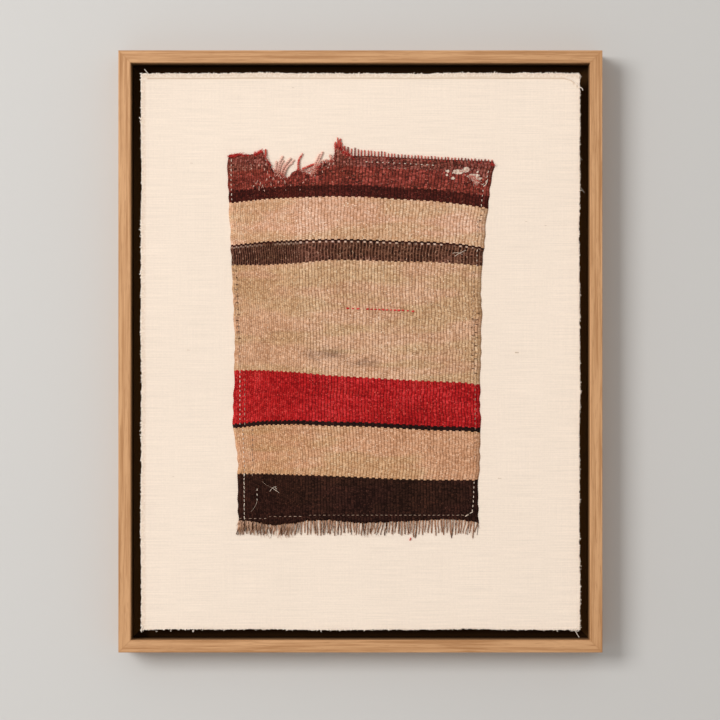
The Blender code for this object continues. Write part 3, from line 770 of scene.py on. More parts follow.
def spun_yarn(name, root, tip, other, contrast=0.3):
    """A loose yarn: its colour runs from root to tip, and turns to another in some of the strands."""
    material, tree, shader, place = new_material(name, specular=0.06)
    fibre = place_group(tree, SPUN_FIBRE, vector=place, contrast=contrast, scale=2600.0)
    blotch = tree.minus(tree.noise(place, 420.0), 0.5)
    colour = tree.mix(tree.rise(tree.plus(tree.attribute("along"), blotch), 0.15, 0.75), root, tip)
    swap = tree.plus(tree.attribute("pick"), tree.times(blotch, 0.8))
    colour = tree.mix(tree.rise(swap, 0.62, 0.85), colour, other)
    colour_and_relief(tree, shader, tree.tone(colour, fibre["Brightness"]), fibre["Height"], 0.12 * MM)
    return material


# Geometry Nodes


def new_geometry_group(name, sizes):
    """A Geometry Nodes tree with these inputs, beside the geometry and the finish that all of them take."""
    inputs = {"Geometry": "Geometry", **sizes, "Finish": "Material"}
    return new_group(name, "GeometryNodeTree", inputs, {"Geometry": "Geometry"})


def end_tree(tree, geometry, given, out):
    """Every tree ends smooth, with its copies made real and its finish set."""
    smooth = tree.out("GeometryNodeSetShadeSmooth", {0: geometry})
    real = tree.out("GeometryNodeRealizeInstances", {0: smooth})
    tree.feed(out.inputs[0], tree.out("GeometryNodeSetMaterial", {0: real, "Material": given["Finish"]}))
    return tree.tree


def tube(tree, line, profile, **more):
    """Sweeps a profile along lines and closes the ends."""
    return tree.out("GeometryNodeCurveToMesh", {0: line, 1: profile, "Fill Caps": True, **more})


def ring(tree, sides, radius):
    """A circle of so many sides, to sweep along lines."""
    return tree.out("GeometryNodeCurvePrimitiveCircle", {"Resolution": sides, "Radius": radius})


def weft_relief_tree():
    """Raises a flat sheet into ribs, each a stack of weft beads set half a bead off its neighbours'."""
    sizes = {
        "Valley height": 0.001,
        "Crest height": 0.002,
        "Bead height": 0.0001,
        "Bead unevenness": 0.0001,
        "Cockle height": 0.0001,
        "Cockle run": 0.02,
    }
    tree, given, out = new_geometry_group("weft relief", sizes)
    rib, row, front = [tree.field(name) for name in ("rib", "row", "front")]
    number = tree.math("FLOOR", rib)
    dome = tree.math("SINE", tree.times(tree.math("FRACT", rib), math.pi))
    dome = tree.math("POWER", tree.math("ABSOLUTE", dome), 0.7)
    shifted = tree.plus(row, tree.math("PINGPONG", number, 1.0))
    turn = tree.times(tree.plus(shifted, 1.0), math.pi)
    bead = tree.times(tree.math("COSINE", turn), given["Bead height"])
    chance = tree.chance(tree.combine(number, tree.math("FLOOR", tree.times(shifted, 0.5)), 5.0))
    bead = tree.scaled(tree.minus(chance, 0.5), given["Bead unevenness"], bead)
    swell = tree.minus(given["Crest height"], given["Valley height"])
    height = tree.scaled(dome, tree.plus(swell, bead), given["Valley height"])
    run = tree.combine(*[given["Cockle run"]] * 3)
    waves = tree.noise(tree.vector("DIVIDE", tree.out("GeometryNodeInputPosition"), run), 1.0, 1.0)
    cockle = tree.times(tree.minus(waves, 0.5), tree.times(given["Cockle height"], 2.0))
    forward = tree.times(tree.plus(height, cockle), tree.times(front, -1.0))
    feeds = {0: given["Geometry"], "Offset": tree.combine(0.0, forward)}
    return end_tree(tree, tree.out("GeometryNodeSetPosition", feeds), given, out)


def plied_yarn_tree():
    """Draws two plies, twisted about each other, along every chain of edges."""
    sizes = {"Step": 0.0005, "Twist length": 0.004, "Ply size": 0.6, "Ply offset": 0.4, "Ply sides": 6}
    tree, given, out = new_geometry_group("plied yarn", sizes)
    line = tree.out("GeometryNodeMeshToCurve", {0: given["Geometry"]})
    line = tree.out("GeometryNodeResampleCurve", {0: line, "Length": given["Step"]}, mode="LENGTH")
    run = tree.node("GeometryNodeSplineParameter").outputs["Length"]
    tilt = tree.times(tree.math("DIVIDE", run, given["Twist length"]), 2 * math.pi)
    line = tree.out("GeometryNodeSetCurveTilt", {0: line, "Tilt": tilt})
    ply = ring(tree, given["Ply sides"], given["Ply size"])
    profile = tree.node("GeometryNodeJoinGeometry")
    for side in (-1.0, 1.0):
        aside = tree.combine(tree.times(given["Ply offset"], side), 0.0)
        tree.feed(profile.inputs[0], tree.out("GeometryNodeTransform", {0: ply, "Translation": aside}))
    plies = tube(tree, line, profile.outputs[0], Scale=tree.field("thick"))
    return end_tree(tree, plies, given, out)


def fibre_tree():
    """Draws one plain fibre along every chain of edges."""
    tree, given, out = new_geometry_group("fibre", {"Sides": 4})
    line = tree.out("GeometryNodeMeshToCurve", {0: given["Geometry"]})
    fibre = tube(tree, line, ring(tree, given["Sides"], 1.0), Scale=tree.field("thick"))
    return end_tree(tree, fibre, given, out)


def uneven(tree, given, middle, draw):
    """A random number about a middle, as far off it as the tree's unevenness."""
    feeds = {
        2: tree.minus(middle, given["Unevenness"]),
        3: tree.plus(middle, given["Unevenness"]),
        "Seed": tree.scaled(given["Seed"], 10.0, float(draw)),
    }
    return tree.node("FunctionNodeRandomValue", feeds, data_type="FLOAT").outputs[1]


def running_stitch_tree():
    """Sets a short raised stitch at even steps along every chain of edges, each a little out of line."""
    sizes = {
        "Spacing": 0.0037,
        "Stitch length": 0.0018,
        "Stitch rise": 0.0005,
        "Thread radius": 0.0003,
        "Unevenness": 0.2,
        "Seed": 1,
    }
    tree, given, out = new_geometry_group("running stitch", sizes)
    line = tree.out("GeometryNodeMeshToCurve", {0: given["Geometry"]})
    points = tree.out("GeometryNodeResampleCurve", {0: line, "Length": given["Spacing"]}, mode="LENGTH")
    half = tree.times(given["Stitch length"], 0.5)
    feeds = {
        "Resolution": 5,
        "Start": tree.combine(tree.times(half, -1.0), 0.0),
        "Middle": tree.combine(0.0, 0.0, tree.times(given["Stitch rise"], 2.0)),
        "End": tree.combine(half, 0.0),
    }
    bow = tree.out("GeometryNodeCurveQuadraticBezier", feeds)
    stitch = tube(tree, bow, ring(tree, 6, given["Thread radius"]))
    outward = tree.out("FunctionNodeAlignRotationToVector", {"Vector": (0, -1, 0)}, axis="Z")
    feeds = {"Rotation": outward, "Vector": tree.out("GeometryNodeInputTangent")}
    along = tree.out("FunctionNodeAlignRotationToVector", feeds, axis="X", pivot_axis="Z")
    feeds = {"Axis": (0, 0, 1), "Angle": uneven(tree, given, 0.0, 1)}
    swing = tree.out("FunctionNodeAxisAngleToRotation", feeds)
    rotation = tree.out("FunctionNodeRotateRotation", {0: along, 1: swing}, rotation_space="LOCAL")
    size = tree.combine(*[uneven(tree, given, 1.0, 2)] * 3)
    feeds = {"Points": points, "Instance": stitch, "Rotation": rotation, "Scale": size}
    return end_tree(tree, tree.out("GeometryNodeInstanceOnPoints", feeds), given, out)


def piece_from(name, mesh):
    """Puts a mesh into the scene as a piece of this name."""
    mesh.name = name
    piece = bpy.data.objects.new(name, mesh)
    bpy.context.collection.objects.link(piece)
    return piece


def run_tree(name, source, tree, **settings):
    """Runs a tree on a mesh, with its inputs set by identifier, and keeps the result as a plain piece."""
    seed = bpy.data.objects.new(name + "_source", source)
    bpy.context.collection.objects.link(seed)
    modifier = seed.modifiers.new(tree.name, "NODES")
    modifier.node_group = tree
    for item in tree.interface.items_tree:
        key = item.name.lower().replace(" ", "_")
        if item.in_out == "INPUT" and key in settings:
            modifier[item.identifier] = settings[key]
    bpy.context.view_layer.update()
    graph = bpy.context.evaluated_depsgraph_get()
    grown = seed.evaluated_get(graph)
    mesh = bpy.data.meshes.new_from_object(grown, preserve_all_data_layers=True, depsgraph=graph)
    seed.modifiers.remove(modifier)
    bpy.data.objects.remove(seed)
    bpy.data.meshes.remove(source)
    return piece_from(name, mesh)


WEFT_RELIEF = weft_relief_tree()
PLIED_YARN = plied_yarn_tree()
FIBRE = fibre_tree()
RUNNING_STITCH = running_stitch_tree()


# Strands and sheets


def corner_cut(points, times=2):
    """Rounds a chain of points by cutting its corners, with its ends kept."""
    for _ in range(times):
        cut = [points[0]]
        for first, second in zip(points, points[1:]):
            cut += [first.lerp(second, 0.25), first.lerp(second, 0.75)]
        points = cut + [points[-1]]
    return points


def strand(spots, thick, tip, pick, cuts=2):
    """A rounded strand through spots across, up and in depth, with its radius in millimetres."""
    return Strand(corner_cut([placed(*spot) for spot in spots], cuts), thick * MM, tip, pick)


def loose_strands(table, base, lift, tip, fall=0.0, swell=1.0):
    """A table's loose threads, lifted off a depth by so many millimetres and falling towards their tips."""
    strands = []
    for loose in table:
        steps = len(loose.points) - 1
        spots = []
        for step, (across, up) in enumerate(loose.points):
            spots.append((across, up, base + (lift - fall * step / steps) * MM))
        strands.append(strand(spots, loose.thick * swell, tip, loose.pick))
    return strands


def chains_mesh(name, strands):
    """One chain of edges for each strand, with its thickness, its share of length and its own number."""
    places, edges, thick, along, pick = [], [], [], [], []
    for one in strands:
        count = len(one.points)
        first = len(places)
        places += [tuple(point) for point in one.points]
        edges += [(first + step, first + step + 1) for step in range(count - 1)]
        for step in range(count):
            share = step / (count - 1)
            along.append(share)
            thick.append(one.thick * (1 + (one.tip - 1) * share))
            pick.append(one.pick)
    mesh = bpy.data.meshes.new(name)
    mesh.from_pydata(places, edges, [])
    for attribute, values in (("thick", thick), ("along", along), ("pick", pick)):
        mesh.attributes.new(attribute, "FLOAT", "POINT").data.foreach_set("value", values)
    return mesh


def new_sheet(*names):
    """An empty sheet whose vertices carry these numbers."""
    shape = bmesh.new()
    return shape, {name: shape.verts.layers.float.new(name) for name in names}


def fill_grid(shape, grid):
    """Faces between the rows of a grid of vertices."""
    for low, high in zip(grid, grid[1:]):
        for column in range(len(low) - 1):
            shape.faces.new((low[column], low[column + 1], high[column + 1], high[column]))


def close_back(shape, front):
    """Gives an open front a wall round its edge and a flat back. Both lie on the back's plane at first."""
    rim = [edge for edge in shape.edges if edge.is_boundary]
    made = bmesh.ops.extrude_edge_only(shape, edges=rim)["geom"]
    for vert in made:
        if isinstance(vert, bmesh.types.BMVert):
            vert[front] = 0.0
    back = [edge for edge in made if isinstance(edge, bmesh.types.BMEdge) and edge.is_boundary]
    bmesh.ops.edgeloop_fill(shape, edges=back)


def mesh_from(shape, name):
    """Turns a shape that is done into a mesh of this name."""
    mesh = bpy.data.meshes.new(name)
    shape.to_mesh(mesh)
    shape.free()
    return mesh


# Kilim

# Threads of the torn place, each a chain of places, its radius in millimetres and its colour's number
LOOSE_WARPS = [
    Loose([(-78.9, 163.0), (-78.7, 165.6), (-78.9, 168.4)], 0.88, 0.9),
    Loose([(-70.4, 148.5), (-70.4, 153.0), (-70.1, 158.6)], 1.02, 0.2),
    Loose([(-69.0, 148.0), (-67.6, 156.5), (-64.7, 162.8)], 1.12, 0.2),
    Loose([(-68.0, 147.0), (-66.9, 154.5), (-63.8, 159.4)], 0.85, 0.3),
    Loose([(-66.3, 147.0), (-62.4, 155.8), (-57.7, 161.1)], 1.12, 0.1),
    Loose([(-64.0, 146.0), (-61.5, 153.8), (-56.5, 157.0)], 1.02, 0.0),
    Loose([(-65.2, 146.0), (-60.6, 154.6), (-55.0, 159.6)], 0.81, 0.1),
    Loose([(-65.6, 146.6), (-65.3, 151.0), (-62.8, 157.2)], 0.88, 0.3),
    Loose([(-51.6, 150.5), (-51.7, 157.5), (-50.9, 160.3), (-48.0, 164.9)], 0.95, 0.8),
    Loose([(-48.3, 151.6), (-43.0, 154.0), (-39.4, 155.7), (-34.5, 156.4)], 1.10, 0.85),
    Loose([(-41.0, 145.8), (-38.4, 153.4), (-36.4, 159.5), (-33.9, 164.4)], 0.98, 0.4),
    Loose([(-38.9, 148.0), (-35.6, 156.4), (-31.3, 166.5)], 1.02, 0.6),
    Loose([(-37.2, 149.0), (-34.6, 154.0), (-33.4, 159.0)], 0.81, 0.2),
    Loose([(-33.0, 152.0), (-30.6, 156.4), (-31.4, 159.6), (-33.0, 158.4)], 0.73, 0.3),
    Loose([(-25.6, 158.5), (-24.0, 161.2), (-24.6, 163.9), (-26.2, 163.0), (-25.2, 161.6)], 0.78, 0.5),
    Loose([(-28.0, 156.5), (-27.3, 159.0), (-29.0, 160.1), (-30.0, 158.6)], 0.73, 0.5),
    Loose([(-22.6, 157.6), (-20.8, 159.8), (-21.6, 162.6), (-23.4, 161.0)], 0.73, 0.2),
    Loose([(-26.8, 154.2), (-24.4, 155.8), (-22.0, 158.8), (-23.2, 160.2)], 0.66, 0.1),
    Loose([(-30.0, 153.0), (-28.4, 154.6), (-26.2, 155.2), (-24.6, 157.4)], 0.66, 0.3),
    Loose([(-17.6, 170.0), (-17.2, 174.0), (-16.5, 177.2)], 0.90, 0.9),
    Loose([(-20.4, 168.0), (-21.2, 172.0), (-20.6, 174.6)], 0.83, 0.8),
    Loose([(-18.9, 168.0), (-19.0, 172.0), (-18.2, 175.4)], 0.73, 0.9),
    Loose([(-14.6, 163.0), (-12.6, 165.6), (-13.9, 168.2), (-15.6, 166.6)], 0.83, 0.8),
    Loose([(-12.4, 161.5), (-10.4, 164.0), (-11.4, 166.5), (-13.2, 165.0)], 0.83, 0.85),
    Loose([(-9.8, 160.5), (-7.6, 162.6), (-8.4, 165.3), (-10.4, 164.2)], 0.74, 0.6),
]

# Bright loose weft: where a tuft starts and ends along the rim, how its fibres lean and rise, and how many
RED_TUFTS = [
    Tuft((-110.4, 162.2), (-98.6, 164.4), 3.4, 1.6, 96),
    Tuft((-98.0, 163.2), (-93.4, 163.4), 1.6, 1.0, 24),
    Tuft((-88.4, 163.6), (-81.6, 166.2), 0.9, 2.6, 84),
    Tuft((-80.4, 163.8), (-75.0, 154.6), 0.6, 1.0, 44),
    Tuft((-20.8, 170.0), (-15.4, 167.6), 0.8, 2.4, 34),
    Tuft((-16.0, 166.0), (-6.0, 161.4), 0.8, 1.6, 50),
    Tuft((20.0, 160.6), (108.0, 156.4), 0.3, 1.2, 60),
    Tuft((108.2, 156.6), (111.2, 155.4), 1.4, 0.6, 21),
    Tuft((-46.0, 149.6), (-33.0, 154.8), 1.6, 0.7, 36),
]
TEAR_TUFTS = [
    Tuft((-80.5, 163.0), (-74.6, 155.0), 0.9, 0.9, 34),
    Tuft((-74.0, 153.0), (-62.0, 144.5), 0.3, 1.8, 54),
    Tuft((-60.8, 143.6), (-51.4, 151.6), -0.5, 1.3, 44),
    Tuft((-51.4, 151.6), (-42.9, 147.0), 0.8, 1.2, 36),
    Tuft((-42.0, 147.2), (-31.0, 157.0), -0.6, 1.6, 50),
    Tuft((-31.0, 157.0), (-22.0, 158.0), 0.3, 1.8, 44),
    Tuft((-22.0, 158.0), (-20.4, 171.0), -1.2, 0.8, 40),
    Tuft((-17.0, 172.0), (-8.0, 162.4), 1.2, 1.3, 50),
]
PALE_TUFTS = [
    Tuft((-72.0, 147.0), (-62.0, 143.6), 1.4, 2.6, 26),
    Tuft((-50.6, 150.6), (-44.0, 148.0), 1.6, 1.4, 14),
    Tuft((89.0, 146.8), (98.6, 145.4), 5.6, -0.6, 26),
    Tuft((90.0, 146.2), (96.6, 144.0), 6.0, -4.2, 26),
    Tuft((93.0, 144.6), (97.0, 142.6), 3.6, -6.4, 18),
    Tuft((77.0, 149.4), (90.6, 151.6), 3.4, 0.4, 26),
    Tuft((86.2, 148.0), (88.0, 146.6), 2.6, -2.8, 7),
    Tuft((-48.0, 150.4), (-38.0, 152.8), 2.4, 1.0, 26),
]

# A bit of red wool caught on the canvas below the fringe
RED_FLUFF = [
    (41.2, -157.3, CLOTH_FRONT + 0.5 * MM),
    (41.6, -156.2, CLOTH_FRONT + 0.9 * MM),
    (42.0, -155.1, CLOTH_FRONT + 0.5 * MM),
]

# Places where moths have taken the weft, and flecks where it is worn
WORN_PATCHES = [
    Patch(72.4, 150.2, 1.5, 1.2), Patch(72.1, 146.7, 1.2, 0.9), Patch(77.0, 144.2, 1.7, 1.1),
    Patch(81.2, 149.4, 4.6, 1.9), Patch(87.8, 151.3, 2.9, 2.1), Patch(97.5, 149.4, 1.0, 1.0),
    Patch(94.0, 146.4, 5.0, 1.3), Patch(97.4, 144.0, 4.4, 1.1), Patch(97.0, 140.8, 2.4, 1.0),
]
SOILED_PATCHES = [
    Patch(2.2, -9.2, 11.0, 3.2), Patch(-28.0, -2.0, 16.0, 5.0), Patch(-98.0, 143.0, 9.0, 1.6),
]

# Warps that show through the worn weft left of the tear: places and half heights in millimetres
WARP_SHOWS = [
    (-89.0, 137.4, 1.0), (-87.2, 139.8, 0.8), (-85.4, 141.4, 1.4), (-84.2, 135.6, 3.0),
    (-83.0, 139.6, 1.6), (-81.4, 137.4, 2.4), (-79.8, 133.8, 0.9), (-78.2, 143.0, 1.6),
    (-76.8, 148.4, 2.0), (-75.4, 145.2, 1.1), (-74.2, 138.8, 1.2), (-72.4, 143.6, 1.5),
    (-70.6, 136.4, 0.8), (-68.2, 141.0, 1.0), (-66.2, 144.6, 1.2), (-62.6, 140.8, 1.8),
    (-62.0, 134.4, 0.6), (-58.2, 138.2, 0.7), (-50.0, 134.6, 0.6), (-47.4, 140.6, 0.8),
    (-90.4, 152.0, 0.9), (-84.0, 155.0, 1.2), (-80.2, 151.4, 1.3), (-78.4, 155.6, 1.2),
    (-38.0, 146.0, 0.9), (-31.4, 149.6, 1.0), (-26.6, 153.0, 1.0), (-22.4, 156.2, 1.2),
]

# Dark stitches through the weave beside its sides: each column's place in ribs, its top and its bottom
SIDE_COLUMNS = [
    (1.9, 67.0, 8.0),
    (RIBS - 1.5, 32.0, -24.0),
    (RIBS - 2.6, 27.0, -16.0),
    (RIBS - 1.6, 118.0, 95.0),
]

# How long the upper stubs are at places across
STUB_LENGTHS = [(-19.0, 4.6), (-15.0, 3.8), (-7.0, 6.1), (3.8, 4.8), (14.6, 4.2), (20.4, 3.4)]
STUB_LENGTHS += [(30.4, 2.7), (44.5, 2.2), (84.3, 1.6), (107.6, 1.1)]

# Seams, as places along each run of pale stitches
PALE_SEAMS = [
    [(-107.4, 158.9), (-107.6, 142.0), (-107.0, 126.6)],
    [(-100.2, -17.1), (-100.2, -60.2)],
    [(-97.9, -65.2), (-96.3, -102.6)],
    [(93.1, -132.5), (93.9, -126.6), (94.6, -109.2)],
    [(100.7, 121.6), (101.6, 130.7), (102.6, 137.4), (104.5, 140.9), (106.3, 149.4)],
    [(97.2, 84.0), (96.8, 71.6)],
    [(-85.9, -115.0), (-85.9, -123.3)],
]
STRONG_SEAMS = [
    [(-96.8, -102.6), (-96.6, -138.3)],
    [(88.6, -136.4), (92.3, -134.1)],
]
FAINT_SEAMS = [
    [(-100.0, -139.0), (-79.2, -139.0)],
    [(-75.1, -137.4), (-50.1, -137.2)],
    [(-41.8, -136.2), (89.0, -136.2)],
    [(95.0, -88.0), (95.5, -65.2), (95.5, -27.9)],
    [(-96.2, -23.7), (-96.2, -60.2)],
    [(-90.0, -65.2), (-90.0, -102.6)],
    [(-106.4, 80.0), (-103.0, 12.0)],
    [(-102.6, 60.0), (-100.4, -12.0)],
    [(94.0, 66.0), (94.6, -22.0)],
    [(97.6, 112.0), (97.0, 92.0)],
    [(19.2, 152.3), (37.0, 152.3)],
]
TOP_SEAMS = [
    [(5.1, 157.8), (30.0, 156.8), (60.3, 155.0)],
]
RED_SEAMS = [
    [(-10.5, 35.9), (-2.0, 35.5)],
    [(6.0, 35.3), (32.0, 34.2)],
    [(35.4, 34.2), (43.7, 33.4)],
]
LOOSE_PALE_THREADS = [
    Loose([(-85.9, -123.6), (-86.6, -127.0), (-88.6, -130.6), (-91.0, -133.2)], 0.12, 0.9),
    Loose([(-81.8, -108.2), (-77.0, -112.0), (-73.2, -113.6)], 0.07, 1.0),
    Loose([(-73.6, -113.4), (-70.6, -115.4), (-67.7, -117.5)], 0.20, 0.3),
    Loose([(-75.4, -116.4), (-73.0, -113.0), (-69.8, -112.2)], 0.15, 0.5),
    Loose([(-71.0, -113.0), (-69.6, -114.6)], 0.24, 0.0),
    Loose([(78.5, 79.2), (82.0, 81.6), (87.7, 84.2)], 0.22, 0.3),
    Loose([(76.6, 81.8), (82.0, 82.4), (85.0, 80.4)], 0.16, 0.3),
    Loose([(102.4, 137.2), (104.8, 139.0), (106.0, 143.6)], 0.30, 0.1),
    Loose([(101.0, 138.6), (103.0, 139.6)], 0.26, 0.1),
]

# Each kind of running stitch: its seams, its spacing, length and radius in millimetres, and its yarn
SEWING = {
    "pale_stitches": Sewing(PALE_SEAMS, 3.6, 1.4, 0.27, "pale thread"),
    "strong_stitches": Sewing(STRONG_SEAMS, 3.4, 2.4, 0.25, "pale thread"),
    "faint_stitches": Sewing(FAINT_SEAMS, 3.9, 1.8, 0.20, "faint thread"),
    "top_stitches": Sewing(TOP_SEAMS, 4.6, 1.2, 0.28, "pale thread"),
    "red_stitches": Sewing(RED_SEAMS, 3.1, 1.6, 0.58, "red wool"),
}


def weft_rows(ribs):
    """Heights of every weft row at these rib positions, from the bottom up, and each band's first row."""
    rising = [LOWEST_BAND] + [band.yarn for band in reversed(WEFT_BANDS)]
    levels = [lower_rim(ribs)] + [band_edge(band, ribs) for band in reversed(WEFT_BANDS)]
    rows = []
    starts = []
    for yarn, low, high in zip(rising, levels, levels[1:]):
        count = round(float(np.mean(high - low)) / WEFT_STEP)
        starts.append((len(rows), yarn))
        rows += [low + (high - low) * step / count for step in range(count)]
    starts.append((len(rows), rising[-1]))
    rim = upper_rim(ribs)
    top = levels[-1]
    count = math.ceil(float(np.max(rim - top)) / WEFT_STEP)
    rows += [np.minimum(top + step * WEFT_STEP, rim) for step in range(count + 1)]
    return np.array(rows), starts


def patch_share(patches, across, up):
    """How far a place lies in any of the patches, from 0 to 1."""
    share = np.zeros_like(across)
    for patch in patches:
        off = np.hypot((across - patch.across) / patch.half_width, (up - patch.up) / patch.half_height)
        share = np.maximum(share, np.clip(1.5 - off, 0, 1))
    return share


def woven_sheet():
    """The kilim as a flat closed sheet that carries each point's rib, weft row and wear."""
    ribs = np.linspace(0, RIBS, RIBS * COLUMNS_PER_RIB + 1)
    heights, starts = weft_rows(ribs)
    names = ("rib", "row", "front", "bare", "soil")
    shape, layers = new_sheet(*names)
    grid = []
    for row, ups in enumerate(heights):
        across = side_to_side(ribs, ups)
        across[0] -= SELVEDGE_TURN * (row % 2)
        across[-1] += SELVEDGE_TURN * (row % 2)
        bare = patch_share(WORN_PATCHES, across, ups)
        soiled = patch_share(SOILED_PATCHES, across, ups)
        line = []
        columns = zip(ribs, across, ups, heights[0], heights[-1], bare, soiled)
        for rib, x, up, low, high, wear, soil in columns:
            vert = shape.verts.new(placed(x, up, KILIM_BACK - SHEET_DROP))
            inside = min(rib, RIBS - rib, (up - low) / BORDER_RUN, (high - up) / BORDER_RUN)
            front = BORDER_THICKNESS + (1 - BORDER_THICKNESS) * min(1.0, inside)
            for name, value in zip(names, (rib, row, front, wear, soil)):
                vert[layers[name]] = value
            line.append(vert)
        grid.append(line)
    fill_grid(shape, grid)
    bmesh.ops.remove_doubles(shape, verts=shape.verts, dist=0.004 * MM)
    close_back(shape, layers["front"])
    return mesh_from(shape, "kilim_sheet"), starts, len(heights)


def band_stops(starts):
    """The first rows of the bands and of the narrow stripes in them."""
    stops = []
    for start, yarn in starts:
        if yarn == "maroon":
            stops += [(start, "dark maroon"), (start + DARK_MAROON_ROWS, yarn)]
            stops += [(start + WORN_MAROON_ROW, "worn maroon")]
        elif yarn == "upper beige":
            stops += [(start - 1, "thin line"), (start + 1, yarn)]
        else:
            stops.append((start, yarn))
    return stops


def kilim():
    """The woven fragment, its sheet raised into ribs and beads."""
    source, starts, rows = woven_sheet()
    stops = band_stops(starts)
    thin_line = next(start for start, yarn in stops if yarn == "thin line")
    return run_tree(
        "kilim_weave",
        source,
        WEFT_RELIEF,
        valley_height=VALLEY_HEIGHT,
        crest_height=CREST_HEIGHT,
        bead_height=BEAD_HEIGHT,
        bead_unevenness=BEAD_UNEVENNESS,
        cockle_height=COCKLE_HEIGHT,
        cockle_run=COCKLE_RUN,
        finish=wool(stops, rows, thin_line - DOTS_BELOW_LINE),
    )


def lower_fringe_strands():
    """Warp ends below the last weft row, matted and splayed at the left, in slanting clumps elsewhere."""
    chance = random.Random("lower fringe")
    strands = []
    for rib in range(RIBS):
        matted = max(0.0, 1 - rib / MATTED_RIBS)
        for end in range(2):
            place = rib + 0.5 + end * chance.uniform(0.25, 0.4)
            across = float(side_to_side(place, LOWER_LEVEL))
            root = float(lower_rim(place)) + 0.8
            splay = 2.4 * max(0.0, 1 - rib / SPLAYED_RIBS)
            clump = 0.9 * math.sin(rib / 2.3) + 0.8 * math.sin(rib / 5.0) - 0.6
            lean = clump - splay + chance.uniform(-0.9, 0.9) * (1 + 3 * matted)
            fall = FRINGE_LEVEL - root + chance.uniform(-1.2, 1.8)
            if rib in LONG_END_RIBS:
                fall -= LONG_END_EXTRA
            sway = chance.uniform(-0.5, 0.5) * (1 + 2 * matted)
            depth = KILIM_BACK + (0.25 if end else chance.uniform(0.35, 0.5)) * MM
            tip_depth = KILIM_BACK + (0.15 if end else chance.uniform(0.2, 0.4)) * MM
            spots = [
                (across, root, depth),
                (across + lean * 0.3 + sway, root + fall * 0.4, depth),
                (across + lean * 0.8 - sway, root + fall * 0.75, tip_depth),
                (across + lean, root + fall, tip_depth),
            ]
            width = NARROW_END_RADIUS if rib < NARROW_RIBS else WIDE_END_RADIUS
            thick = width * chance.uniform(0.8, 1.15) * (0.42 if end else 1.0)
            # Most of the ends that lie under others are dark: partly dark yarn, partly painted shade
            # between the pale ends
            pick = 1.0 if end and chance.random() < 0.8 else chance.random() * (0.80 + 0.25 * matted)
            if end and chance.random() > 0.6 + 0.4 * matted:
                continue
            strands.append(strand(spots, thick, 0.7, pick))
    return strands


def lower_fringe_fibres():
    """Single fibres that have worked loose between the warp ends, thickest where those are matted."""
    chance = random.Random("lower fibres")
    strands = []
    for _ in range(FRINGE_FIBRES):
        rib = RIBS * chance.random() ** 1.9
        across = float(side_to_side(rib, LOWER_LEVEL))
        root = float(lower_rim(rib)) + 0.3
        lean = chance.uniform(-2.6, 2.6)
        fall = -chance.uniform(2.0, 12.0)
        sway = chance.uniform(-1.2, 1.2)
        depth = KILIM_BACK + chance.uniform(0.3, 1.3) * MM
        spots = [
            (across, root, depth),
            (across + sway, root + fall * 0.5, depth),
            (across + lean, root + fall, depth),
        ]
        pick = 1.0 if chance.random() < 0.30 else chance.random() * 0.6
        thick = chance.uniform(0.10, 0.18) * (1 + 1.1 * max(0.0, 1 - rib / 30))
        strands.append(strand(spots, thick, 0.5, pick))
    return strands


def upper_stub_strands():
    """Warp stubs above the first weft row, long by the torn place and dying out to the right."""
    chance = random.Random("upper fringe")
    strands = []
    for rib in range(LAST_TORN_RIB + 1, RIBS):
        across = float(side_to_side(rib + 0.5, UPPER_LEVEL))
        root = float(upper_rim(rib + 0.5)) - 0.6
        rise = float(np.interp(across, *zip(*STUB_LENGTHS))) * chance.uniform(0.85, 1.12) + 0.6
        lean = chance.uniform(-0.35, 0.35)
        depth = KILIM_BACK + 0.6 * MM
        spots = [
            (across, root, depth),
            (across + lean * 0.4, root + rise * 0.55, depth),
            (across + lean, root + rise, depth - 0.15 * MM),
        ]
        strands.append(strand(spots, chance.uniform(0.66, 0.80), 0.8, chance.random()))
    return strands


def showing_warp_strands():
    """Pale warps where the weft over them has gone, each leaning a little."""
    chance = random.Random("showing warps")
    strands = []
    for across, up, half in WARP_SHOWS:
        for _ in range(2):
            aside = chance.uniform(-0.5, 0.5)
            lean = chance.uniform(-0.5, 0.5)
            size = half * chance.uniform(0.5, 1.0)
            spots = [
                (across + aside - lean, up - size, KILIM_FRONT - 0.25 * MM),
                (across + aside, up, KILIM_FRONT + 0.05 * MM),
                (across + aside + lean, up + size, KILIM_FRONT - 0.25 * MM),
            ]
            strands.append(strand(spots, chance.uniform(0.15, 0.26), 0.6, 0.3 * chance.random()))
    return strands


def side_stitch_strands():
    """Short dark threads that lie across each column, a few millimetres apart."""
    chance = random.Random("side stitches")
    strands = []
    for rib, up, bottom in SIDE_COLUMNS:
        while up > bottom:
            across = float(side_to_side(rib, up)) + chance.uniform(-0.6, 0.6)
            half = chance.uniform(0.7, 1.2)
            spots = [
                (across - half, up, KILIM_FRONT - 0.35 * MM),
                (across, up + chance.uniform(-0.4, 0.4), KILIM_FRONT + 0.05 * MM),
                (across + half, up, KILIM_FRONT - 0.35 * MM),
            ]
            strands.append(strand(spots, chance.uniform(0.30, 0.46), 0.6, chance.random()))
            up -= chance.uniform(4.0, 7.0)
    return strands


